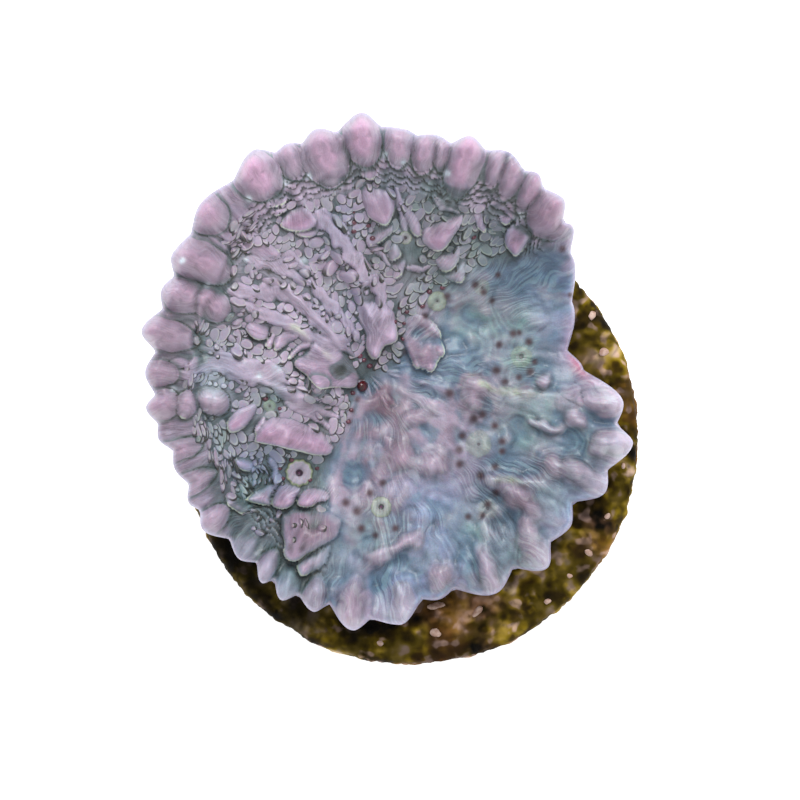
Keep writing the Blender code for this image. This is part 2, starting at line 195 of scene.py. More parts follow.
# Ledges: plates that rise towards a free edge, as height, bearing of that edge, pinkness,
# and the corners as east, north.
ledges = [
    (1.7, -105, 1.0, [
        (-11, -0.3), (-10, 1.4), (-8.3, 1.3), (-6.5, 0.5), (-5.6, -0.5), (-5.8, -1.2),
        (-6.7, -1.2), (-8.9, -0.7), (-10.4, -0.4),
    ]),
    (1.1, -140, 0.8, [(-11, 0.6), (-10.5, 1.4), (-10.1, 1.4), (-10.6, 0.3), (-10.9, 0.1)]),
    (1.1, -120, 0.8, [
        (-12.8, 0.6), (-12.9, 1.2), (-12.2, 1.9), (-11.1, 2.4), (-10.8, 2.3), (-10.9, 1.8),
        (-11.3, 1.1), (-11.9, 0.5), (-12.5, 0.3),
    ]),
    (0.9, -110, 0.8, [
        (-14.7, 2.5), (-14.5, 3.2), (-13.6, 3.4), (-12.9, 3.1), (-13, 2.5), (-13.6, 1.7),
        (-14.1, 1.7), (-14.7, 1.9),
    ]),
    (0.7, -120, 0.6, [
        (-16.3, 2.2), (-15.9, 3), (-15.1, 3.4), (-14.7, 3.4), (-14.8, 2.7), (-15, 1.8),
        (-15.6, 1.4), (-16.1, 1.4),
    ]),
    (1.1, -115, 0.6, [
        (-11.6, 7.7), (-11.2, 8.1), (-10.6, 8.1), (-10, 7.8), (-10, 7.2), (-10.2, 6.8),
        (-10.8, 6.8), (-11.3, 7.2),
    ]),
    (0.8, -115, 0.6, [(-10.2, 6.6), (-9.6, 7.6), (-9.2, 7.5), (-9.7, 6.3), (-10, 6.2), (-10.3, 6.4)]),
    (1.0, -115, 0.6, [
        (-9.7, 6.3), (-9.2, 7.4), (-8.4, 7.5), (-7.7, 7.2), (-7.9, 7), (-9.1, 6.2), (-9.5, 6.1),
    ]),
    (0.9, -115, 0.6, [(-8.7, 5.6), (-7.8, 6.7), (-7, 6.8), (-7, 6.3), (-7.8, 6), (-8.4, 5.4)]),
    (1.4, -112, 0.5, [
        (-8.1, 5.3), (-7.3, 5.9), (-6.5, 6.8), (-6, 6.6), (-4.8, 5.9), (-4, 4.9), (-3.7, 4.1),
        (-4.2, 3.5), (-5.5, 3.6), (-6.4, 3.7), (-6.9, 4.2), (-7.9, 4.8),
    ]),
    (1.2, -75, 0.6, [
        (-3.4, 17.5), (-2.8, 17.5), (-2, 17.3), (-1.3, 17.1), (-1.2, 16.4), (-1.2, 15.7),
        (-1.6, 14.9), (-2.2, 14.9), (-2.9, 15.3), (-3.3, 16.2),
    ]),
    (0.7, -70, 0.4, [
        (-2.8, 15), (-1.5, 14.8), (-1.2, 15), (-1.3, 14.3), (-2, 13.7), (-2.7, 13.4), (-3, 13.5),
    ]),
    (0.9, -60, 0.5, [
        (-0.6, 15.9), (-0.2, 16), (0.3, 15.6), (0.7, 14.7), (0.8, 14.1), (0.4, 14), (0, 14.4),
        (-0.4, 15.3),
    ]),
    (1.4, -60, 0.8, [
        (0.8, 14.6), (1.3, 14.8), (3.4, 15.6), (3.5, 15.3), (3, 14.1), (2.3, 13.1), (1.7, 13.1),
        (1, 13.5), (0.8, 13.9),
    ]),
    (1.0, -60, 0.6, [
        (1.7, 12.7), (2.9, 13), (3.3, 13.7), (3.4, 12.6), (3, 11.8), (2.3, 11.6), (1.7, 12.1),
    ]),
    (0.8, -60, 0.6, [(2.1, 11.3), (3.2, 11.9), (3.8, 12.5), (3.8, 11.3), (3.6, 10.8), (2.9, 11)]),
    (0.8, -50, 0.5, [
        (-1.5, 12.4), (-1.6, 13.1), (-1.2, 13.7), (-0.7, 13.1), (-0.7, 12.6), (-1.2, 12.3),
    ]),
    (0.6, -50, 0.4, [(-1.3, 11.1), (-1.4, 11.7), (-0.6, 12.5), (-0.4, 12.3), (-0.6, 11.4), (-1, 11.1)]),
    (0.6, -90, 0.5, [
        (-3.8, 19.2), (-2.3, 18.9), (-2.3, 18.4), (-2.8, 17.9), (-3.4, 18.2), (-3.7, 18.8),
    ]),
    (1.1, -100, 0.9, [
        (-9.1, 15), (-8.6, 15.7), (-7.8, 16.2), (-7.1, 16), (-6.6, 15.3), (-6.7, 14.8),
        (-7.4, 14.4), (-8.3, 14.4), (-9, 14.7),
    ]),
    (0.6, -95, 0.6, [(-8.3, 14.3), (-6.6, 14.7), (-6.4, 14.5), (-6.7, 14.1), (-7.4, 13.9)]),
    (0.6, -70, 0.7, [
        (-10.3, 16.4), (-9.6, 16.7), (-8.9, 17), (-8.6, 16.8), (-8.9, 16.3), (-9.5, 16),
        (-10.1, 16),
    ]),
    (0.45, -70, 0.6, [(-10, 15.8), (-8.9, 16.2), (-8.5, 16.5), (-8.6, 16), (-9.1, 15.5), (-9.5, 15.4)]),
    (0.4, -60, 0.5, [
        (-10.9, 13.8), (-10, 13.7), (-9.5, 13.2), (-9.1, 13.1), (-9.3, 12.5), (-10.9, 12.5),
        (-11.4, 13.2),
    ]),
    (1.2, -120, 0.7, [
        (-11.6, -4.3), (-10.8, -3.7), (-10, -3.3), (-9.4, -3.3), (-9.8, -4), (-9.8, -4.9),
        (-10.4, -4.7), (-11.3, -4.6),
    ]),
    (1.5, -100, 0.7, [
        (-9.8, -4.7), (-9.6, -4), (-9.1, -3.2), (-7.9, -3.5), (-7.8, -3.8), (-8.1, -4.3),
        (-8.2, -4.7), (-8.8, -5), (-9.5, -4.9),
    ]),
    (1.5, -100, 0.8, [
        (-7.9, -4.3), (-7.7, -3.8), (-7, -3.5), (-6.3, -3.6), (-5.8, -4), (-5.9, -4.5),
        (-6.5, -4.5), (-7, -4.9), (-7.7, -4.9), (-8, -4.7),
    ]),
    (1.8, -120, 0.6, [
        (-8.8, -5.2), (-7, -5.2), (-6.1, -5.2), (-5.4, -5.6), (-5, -5.9), (-5.1, -6.5),
        (-5.4, -7.1), (-6.1, -7.4), (-7.2, -8.1), (-8, -8.6), (-8.6, -8.5), (-8.9, -8),
        (-8.7, -7.4), (-9, -6.5),
    ]),
    (1.3, -115, 0.7, [
        (-8, -8.8), (-7.2, -8.2), (-6, -7.6), (-5.7, -7.5), (-5.7, -8.2), (-6.1, -9),
        (-7.1, -9.6), (-7.7, -9.7), (-7.9, -9.2),
    ]),
    (0.7, -130, 0.1, [
        (-13, -4), (-12.6, -3.8), (-11.8, -4), (-11.3, -4.6), (-11, -4.9), (-11.9, -5.4),
        (-12.5, -5), (-12.9, -4.6),
    ]),
    (0.9, -120, 0.5, [
        (-12.4, -1.5), (-11.9, -1.4), (-11.1, -1.6), (-11.1, -2.4), (-11.9, -2.3), (-12.3, -2),
    ]),
    (1.3, -60, 0.4, [
        (-3.2, 6.7), (-3.1, 7.4), (-3.7, 8.3), (-3.8, 9.3), (-2.8, 9.4), (-2.1, 9.3), (-1.3, 8.9),
        (-1.1, 8), (-1, 7), (-1.3, 6.6), (-2, 6.4), (-2.3, 5.6), (-2.8, 5.6), (-3.1, 6),
    ]),
    (0.85, -60, 0.5, [
        (-0.5, 8.4), (0.3, 8.5), (1.3, 8.1), (2, 7.3), (2.2, 6.3), (1.9, 5.3), (1.3, 4.8),
        (0.6, 4.9), (0.1, 5.4), (-0.3, 6.4), (-0.6, 7.5),
    ]),
    (0.8, -20, 0.5, [
        (-0.3, 8.5), (0.6, 8.6), (1.5, 8.2), (2.1, 7.4), (2.1, 6.9), (1.2, 7.1), (0.2, 7.7),
    ]),
    (0.9, -45, 0.6, [
        (-0.3, 8.1), (0.8, 7.8), (1.9, 7.0), (2.4, 6.2), (2.1, 5.5), (1.3, 6.0), (0.2, 7.2),
    ]),
    (1.0, -65, 0.6, [
        (-0.4, 8.0), (0.4, 7.4), (1.4, 6.4), (1.9, 5.3), (1.5, 4.6), (0.9, 4.7), (0.4, 6.0),
        (-0.3, 7.2),
    ]),
    (0.9, -85, 0.5, [
        (-0.6, 7.8), (0.0, 7.2), (0.6, 5.9), (0.7, 4.9), (0.2, 4.9), (-0.2, 5.9), (-0.7, 7.1),
    ]),
    (1.3, -110, 0.8, [
        (6.6, 13.5), (6.6, 14.3), (7, 14.9), (7.7, 15.2), (8.4, 14.3), (8.3, 13.8), (7.7, 12.9),
        (7.3, 12.7), (7, 12.9),
    ]),
    (0.8, -80, 0.6, [(6, 15.3), (6.3, 15.8), (7, 15.7), (7.3, 15.3), (6.7, 14.8), (6.4, 15)]),
    (0.9, -100, 0.5, [(4.4, 15.8), (5.2, 15.7), (5.3, 14.4), (5, 14.3), (4.5, 14.9)]),
    (0.8, -70, 0.6, [
        (10.3, 3.7), (11.9, 3.8), (12.1, 3), (13.5, 3.3), (14.8, 2.4), (14.3, 1.6), (13.6, 1.8),
        (12.6, 2), (11.4, 2.4), (10.6, 3),
    ]),
]

# Ribbons: long smooth ridges between the rows of scales, as height, half width,
# pinkness, and the points from the outer end inward.
ribbons = [
    (0.35, 0.42, 0.5, [
        (-12.7, 10.2), (-10.9, 10.1), (-8.8, 10.1), (-7.5, 9.1), (-6.1, 7.8), (-4.8, 6.6),
        (-4, 5.8),
    ]),
    (0.3, 0.35, 0.3, [(-11.5, 9.3), (-9.9, 8.5), (-8, 7.6), (-6.1, 6.6), (-4.8, 5.5)]),
    (0.25, 0.5, 0.5, [(-11.2, 12.4), (-9.3, 12.4), (-8, 12.1), (-6.9, 11.5)]),
    (0.45, 0.4, 0.4, [(-6.5, 15.7), (-5.4, 14.2), (-4.2, 12.9), (-3.2, 11.5), (-2.2, 10.1), (-1.7, 9)]),
    (0.3, 0.3, 0.5, [(-7.1, 10.9), (-6.1, 9.8), (-5.2, 8.7), (-4.2, 7.7), (-3.6, 6.7)]),
    (0.25, 0.28, 0.4, [(-9.6, 11.8), (-8.3, 11.5), (-7.2, 10.7)]),
    (0.35, 0.5, 0.4, [(-15.6, 5), (-13.3, 5.2), (-11.5, 4.9), (-9.6, 4.4), (-8.5, 3.8)]),
    (0.3, 0.35, 0.3, [(-14.6, 6.3), (-13.2, 5.9), (-11.9, 5.6)]),
    (0.35, 0.4, 0.3, [
        (-12.7, 4.3), (-11.3, 4.5), (-10, 4), (-9, 3.3), (-7.9, 2.5), (-6.5, 1.9), (-5.2, 1.5),
    ]),
    (0.3, 0.3, 0.3, [(-8.7, 2.5), (-7.7, 2), (-6.7, 1.4), (-5.8, 0.8)]),
    (0.3, 0.35, 0.3, [(-16.6, 5.1), (-15.7, 5.2), (-14.9, 4.8)]),
    (0.3, 0.3, 0.3, [(-16.8, 4.2), (-15.8, 4.4), (-15.1, 4.8)]),
    (0.3, 0.35, 0.4, [(-6, 15.8), (-5.1, 15), (-4.4, 14.3)]),
    (0.25, 0.2, 0.3, [(-1, 17.3), (-0.7, 15.6), (-0.4, 14.6), (-0.2, 13.9)]),
    (0.3, 0.25, 0.4, [(-2.4, 14.7), (-2.8, 13.6), (-2.1, 12.9), (-1.5, 12.1)]),
    (0.35, 0.22, 0.5, [(1.6, 16.8), (2.3, 16.1), (3.3, 15.7)]),
    (0.35, 0.22, 0.5, [(2, 17.5), (2.7, 16.7), (3.7, 16.3)]),
    (0.35, 0.22, 0.5, [(2.5, 18.1), (3.1, 17.3), (3.9, 16.9)]),
    (0.3, 0.25, 0.3, [(-0.2, 11.9), (0.8, 11.7), (1.2, 12)]),
    (0.3, 0.22, 0.4, [(-13.7, 14.7), (-12.7, 13.9), (-11.8, 13.4), (-11.4, 12.9)]),
    (0.3, 0.2, 0.4, [(-14, 13.9), (-13.1, 13.3), (-12.2, 12.7)]),
    (0.3, 0.2, 0.4, [(-14.5, 13.3), (-13.6, 13), (-12.9, 12.4)]),
    (0.3, 0.28, 0.4, [(5.2, 19.8), (5.4, 18.5), (4.4, 17.3), (3.8, 16.8)]),
    (0.3, 0.28, 0.4, [(6, 19.4), (6.1, 18.5), (5.3, 17.5), (4.4, 16.8)]),
    (0.3, 0.28, 0.4, [(7.3, 17.2), (6.3, 16.7), (5.4, 16.3)]),
    (0.25, 0.3, 0.3, [(8.3, 15.8), (7.6, 16), (6.7, 16.4)]),
    (0.3, 0.3, 0.2, [(-11.4, -2), (-11.3, -2.7), (-11, -3.4)]),
    (0.3, 0.3, 0.2, [(-9.9, -1.5), (-9.5, -2.3), (-9.6, -3.1)]),
]

# Crests that run down the plate: height, width on the steep side, width on the gentle
# side, strength of the yellow-green edge, and the points from the outer end inward.
# The steep side is on the right hand of that way.
crests = [
    (0.55, 0.35, 1.6, 0.1, [(-8.6, 17.7), (-5.7, 14.1), (-4.1, 11.0), (-2.5, 7.8)]),
    (0.5, 0.35, 1.6, 0.3, [(-11.4, 12.3), (-8.5, 10.3), (-5.7, 7.5), (-4.6, 6.1)]),
    (0.65, 0.6, 1.5, 0.6, [(-13.2, 10.0), (-10.4, 8.3), (-8.1, 7.7), (-4.6, 5.0)]),
    (0.7, 0.4, 1.3, 0.2, [(-16.0, 3.9), (-12.7, 4.7), (-7.8, 2.9), (-4.3, 2.6)]),
    (0.6, 0.5, 1.2, 0.8, [(14.6, 2.2), (10.4, 2.9), (6.2, 3.3), (3.1, 4.6)]),
    (0.5, 0.6, 1.1, 0.6, [(11.5, -4.4), (9.4, -3.2), (4.8, -2.9)]),
    (0.45, 0.75, 0.75, 0, [(-15.8, -1.9), (-13.8, -1.2), (-12.6, -0.7)]),
    (0.45, 0.75, 0.75, 0, [(-15.3, -3.3), (-13.6, -2.6), (-12.6, -2.2)]),
    (0.5, 0.8, 0.8, 0, [(-14.3, -6.1), (-13.2, -5), (-12.6, -4.2)]),
    (0.45, 0.7, 0.7, 0, [(-11.9, -8.1), (-10.9, -6.8), (-10.4, -5.6)]),
    (0.5, 0.7, 0.7, 0, [(-10.5, -9.8), (-9.8, -8.2), (-9.3, -6.6)]),
    (0.5, 0.7, 0.7, 0, [(-9.2, -11.1), (-8.6, -9.9), (-8.5, -8.8)]),
    (0.45, 0.8, 0.8, 0, [(-6.9, -11.7), (-6.6, -10.5), (-6.3, -9.6)]),
    (0.55, 0.9, 0.9, 0, [(-4.2, -13.2), (-4.6, -11.4), (-5.1, -9.7)]),
    (0.35, 0.9, 0.9, 0, [(-0.8, -12), (-1, -10.7), (-1.4, -9.7)]),
    (0.5, 0.6, 0.6, 0, [(5.6, -10.6), (5.3, -8.5), (5.4, -5.9)]),
    (0.35, 0.9, 0.9, 0, [(13.2, -3.6), (12.3, -2.3), (10.5, -1.9)]),
    (0.4, 0.8, 0.8, 0, [(15.2, -0.4), (13.9, -0.3), (12.6, -0.4)]),
    (0.4, 0.5, 0.9, 0.2, [(4.9, 18.0), (3.9, 15.8), (3.6, 12.0)]),
]

# Soft patches of colour as east, north, radius, strength: where the tissue turns blue and
# where it turns green.
bluePatches = [
    (9.6, 10.2, 3.6, 1.0), (6.0, -2.5, 3.0, 0.8), (2.5, -6.5, 4.5, 1.0), (11.5, -5.0, 3.0, 0.9),
    (0.0, -10.0, 4.0, 0.9), (-12.5, -6.0, 3.0, 0.8), (-10.5, -2.5, 2.6, 0.7),
    (10.4, 6.6, 2.4, 0.9), (-14.0, 3.2, 2.6, 0.6), (-15.2, -1.6, 2.6, 0.5),
    (-9.5, -9.4, 3.0, 0.7), (-5.0, 14.6, 2.4, 0.35), (-0.6, 17.0, 2.4, 0.4),
    (6.8, 14.0, 2.6, 0.5), (-4.4, 8.8, 3.0, 0.25), (-5.2, -9.6, 2.6, 0.8),
]
greenPatches = [
    (4.8, 8.0, 3.4, 0.8), (2.6, 10.8, 2.2, 0.7), (8.0, 5.6, 2.6, 0.8), (-14.0, 0.2, 2.2, 0.6),
    (-11.8, -4.6, 2.2, 0.7), (8.6, 2.0, 3.0, 0.8), (-8.0, -9.2, 2.4, 0.7),
    (-2.6, -6.8, 2.4, 0.7), (7.4, -8.2, 2.4, 0.8), (4.6, -6.4, 2.2, 0.7), (9.6, -4.2, 2.0, 0.6),
    (7.8, 0.2, 2.4, 0.8), (1.4, 17.0, 1.8, 0.6), (-0.6, 13.4, 1.8, 0.6), (12.0, -0.6, 2.0, 0.8),
    (-9.8, 2.8, 1.2, 0.7), (-7.6, -2.0, 1.8, 0.6), (-14.6, 6.4, 1.8, 0.5),
    (3.8, 12.6, 2.2, 0.5), (6.2, -5.6, 2.2, 0.5), (-12.2, -7.6, 1.8, 0.6), (7.6, 8.2, 1.6, 0.9),
    (4.1, 11.8, 1.8, 0.4),
]

# Painted shade of deep hollows: east, north, radius, depth of the shade.
hollows = [
    (-4.9, 4.8, 0.6, 1.6), (-13.7, -2.3, 2.0, 0.4), (-14.8, 5.4, 0.9, 0.35),
    (3.4, 5.4, 1.3, 0.4), (-5.4, 15.3, 0.9, 0.3), (1.8, 3.9, 1.2, 0.3), (7.6, -4.6, 1.2, 0.2),
    (9.6, 11.4, 1.6, 0.3), (-9.4, -6.4, 1.0, 0.3), (-6.6, -2.2, 1.0, 0.3),
    (-13.2, -6.6, 1.6, 0.25), (9.9, 3.9, 1.2, 0.15), (2.5, 17.2, 1.2, 0.35),
    (4.4, 14.6, 1.2, 0.2), (0.6, 12.9, 0.9, 0.3), (6.2, 12.4, 1.2, 0.35), (3.2, 5.6, 1.8, 0.25),
    (-6.9, -6.4, 1.8, 0.5), (1.2, 6.4, 1.2, 0.25), (10.2, 13.0, 1.2, 0.3),
    (7.4, 12.0, 1.5, 0.5), (4.5, 13.4, 0.9, 0.3), (-2.4, 14.2, 1.0, 0.3),
    (-5.2, 13.6, 0.7, 0.3), (-11.9, -5.2, 1.4, 0.3), (12.4, 2.0, 1.2, 0.15),
    (6.4, -1.6, 0.9, 0.3), (-8.7, -9.9, 1.4, 0.2), (0.2, -9.6, 1.2, 0.1), (3.9, -8.6, 1.0, 0.3),
]

# Where the skin turns a darker brownish mauve, partly its own colour and partly painted shade below
# knobs and ledges: east, north, radius, strength.
duskPatches = [
    (-1.9, 2.4, 1.8, 1.15), (-0.8, -0.6, 1.5, 0.6), (10.2, 12.7, 1.1, 0.6),
    (8.4, 13.0, 1.2, 0.2), (5.4, -5.0, 1.2, 0.5), (1.0, 6.4, 1.4, 0.5), (10.0, 5.8, 1.0, 0.4),
    (-3.6, -3.6, 1.2, 0.35), (13.4, 1.0, 1.0, 0.4), (6.9, 1.2, 1.0, 0.3),
    (11.4, -1.6, 1.3, 0.35), (-2.3, 16.0, 1.2, 0.45), (-6.2, 12.0, 1.4, 0.25),
    (-16.6, -2.0, 2.0, 0.4), (-13.6, -6.9, 1.6, 0.35), (-11.4, -9.4, 1.4, 0.3),
    (-6.9, -6.4, 1.6, 1.0), (-3.9, -11.4, 1.7, 0.55), (7.6, -4.4, 1.4, 0.5),
    (-14.6, 12.2, 2.2, 0.45), (-17.0, 7.3, 2.0, 0.6), (9.8, 15.8, 2.2, 0.55),
    (-17.6, 4.2, 1.8, 0.5), (-17.6, 1.8, 1.8, 0.5), (-14.6, 9.5, 1.6, 0.4),
    (-13.9, 2.5, 1.2, 0.4), (4.0, 19.2, 1.4, 0.2), (2.2, 14.4, 1.0, 0.3), (7.5, 14.0, 0.9, 0.4),
    (4.6, 14.6, 1.3, 0.25), (0.6, 16.4, 2.0, 0.3), (-1.4, 12.6, 1.8, 0.3),
    (1.6, 12.0, 1.8, 0.35), (7.0, 15.8, 1.6, 0.3), (3.4, 5.2, 1.4, 0.5), (4.6, -2.2, 2.2, 0.45),
    (-2.0, 0.4, 1.6, 0.3), (11.1, -0.9, 1.2, 0.3), (3.0, -5.8, 1.2, 0.25),
    (6.6, 8.8, 1.4, 0.25), (-8.2, 0.2, 1.6, 0.25), (-9.0, -3.9, 1.0, 0.35),
    (7.0, 18.4, 2.0, 0.3),
]

# Painted light and shade: where the skin is painted lighter or darker as a whole: east, north, radius,
# change.
lightPatches = [
    (6.4, -4.8, 4.0, -0.24), (11.8, -2.8, 1.8, -0.18), (1.6, -9.8, 2.6, -0.18),
    (5.6, -9.6, 1.8, -0.14), (-8.0, -10.0, 2.6, -0.3), (6.2, 3.0, 3.2, -0.16),
    (5.6, 11.4, 2.6, -0.12), (11.4, 4.3, 1.4, -0.12), (-7.5, 11.3, 3.4, 0.12),
    (-13.2, 12.0, 1.8, 0.1), (-9.5, -1.6, 2.6, 0.12), (-9.5, 18.3, 2.0, 0.12),
    (3.5, 18.3, 2.2, 0.08), (-16.2, 0.8, 2.0, -0.1),
]

# Where the skin pales: east, north, radius, strength.
palePatches = [
    (-13.7, 3.6, 1.5, 0.65), (-5.7, -8.8, 1.8, 0.6), (4.1, 12.0, 1.6, 0.45),
    (0.6, -8.6, 1.4, 0.4), (-2.5, -5.1, 1.2, 0.3), (-9.2, 4.9, 0.6, 0.7),
    (-5.9, 9.4, 1.8, 0.25), (9.4, 9.4, 2.0, 0.45), (-7.6, 11.8, 2.0, 0.2),
    (4.0, -5.8, 2.0, 0.15), (-12.2, 3.6, 1.0, 0.3), (-0.6, 18.2, 1.4, 0.25),
]

# The part of the plate that shows crisp scales, as corners.
crispCorners = [
    (-16.5, 15.0), (-9.0, 22.5), (5.0, 20.0), (10.4, 16.6), (10.0, 13.2), (5.0, 12.2),
    (2.0, 10.2), (0.3, 9.0), (-1.0, 5.4), (-4.0, 3.4), (-4.8, 0.4), (-6.2, -2.4),
    (-6.0, -8.6), (-7.6, -12.8), (-12.0, -11.4), (-17.6, -3.0), (-19.0, 7.5),
]

# Small pale spots: east, north. The last, on a knob of the west rim, is a painted glint; the others are
# the tissue's own.
frostSpots = [
    (-8.7, 17.7), (-11.3, 16.6), (-7.1, 18.2), (-11.5, 12.4), (-14.2, 10.6), (-1.8, 19.7),
    (-0.5, 19.1), (2.5, 18.4), (7.7, 15.5), (-16.6, 3.4), (-10.6, 4.3), (-7.5, 12.4),
    (-15.9, 12.3),
]

polypForm = {"lobes": 11, "lobeDepth": 0.04}

# Polyps: east, north, radius of the disc, radius of the mouth, how sharply drawn.
polyps = [
    (-7.85, -2.5, 0.86, 0.28, 1.0), (1.85, 9.55, 0.62, 0.1, 0.5), (-0.4, 13.95, 0.42, 0.14, 0.7),
    (-2.1, -4.9, 0.66, 0.2, 0.6), (7.75, 5.65, 0.7, 0.2, 0.25), (4.75, -0.5, 0.85, 0.1, 0.2),
    (5.4, -5.0, 0.6, 0.1, 0.1), (5.0, 10.5, 0.5, 0.1, 0.15), (-9.9, 2.2, 0.4, 0.1, 0.3),
]

# Dark tentacle tips in rings round the polyps: east, north, radius.
tentacles = [
    (1.3, 10.2, 0.24), (2.2, 10.5, 0.22), (2.5, 9.9, 0.24), (0.8, 9.2, 0.22), (1.0, 8.5, 0.22),
    (-4.0, 15.0, 0.26), (-4.0, 14.4, 0.26), (-3.0, 14.8, 0.24), (-2.7, 13.9, 0.24),
    (-0.8, 9.1, 0.2), (-0.3, 8.8, 0.22), (-1.1, 8.1, 0.22), (-0.5, 8.0, 0.18),
    (-0.6, 6.9, 0.2), (-0.5, 6.0, 0.24), (-3.6, 5.7, 0.26), (-3.3, 5.4, 0.22),
    (-2.9, 5.0, 0.26), (-4.1, 3.1, 0.22), (-3.8, 2.7, 0.22), (-4.2, 1.9, 0.2),
    (-4.4, 1.1, 0.22), (-8.4, -1.6, 0.22), (-9.2, -2.2, 0.2), (-9.0, -2.9, 0.2),
    (-6.6, -2.2, 0.2), (-7.1, -3.0, 0.2), (-10.2, 2.7, 0.26), (-9.2, 2.0, 0.18),
    (5.0, 1.6, 0.28), (4.4, 1.3, 0.3), (5.9, 0.8, 0.24), (6.4, -0.3, 0.26), (6.4, -1.0, 0.24),
    (5.9, -2.1, 0.24), (4.9, -2.7, 0.28), (3.4, -1.9, 0.26), (3.4, -0.9, 0.26),
    (3.6, 0.1, 0.24), (7.2, 7.3, 0.26), (7.6, 7.35, 0.2), (6.2, 6.5, 0.24), (8.3, 6.7, 0.26),
    (8.7, 5.3, 0.22), (8.4, 4.6, 0.28), (6.0, 4.7, 0.28), (6.6, 3.9, 0.24), (7.6, 4.2, 0.22),
    (-2.9, -3.9, 0.24), (-2.0, -3.2, 0.24), (-3.8, -5.2, 0.3), (-3.5, -6.4, 0.26),
    (-2.5, -6.9, 0.22), (-1.1, -6.4, 0.24), (-4.6, -4.6, 0.26), (6.0, -3.9, 0.26),
    (5.4, -4.7, 0.24), (5.0, -5.5, 0.22), (4.0, -5.6, 0.22), (4.5, 10.7, 0.24),
    (5.1, 10.2, 0.22), (5.7, 9.6, 0.2), (6.1, 11.4, 0.2), (-4.0, 15.7, 0.12),
    (11.2, 10.0, 0.16), (4.4, 14.0, 0.22), (2.7, 3.1, 0.3), (10.6, 13.2, 0.22),
]
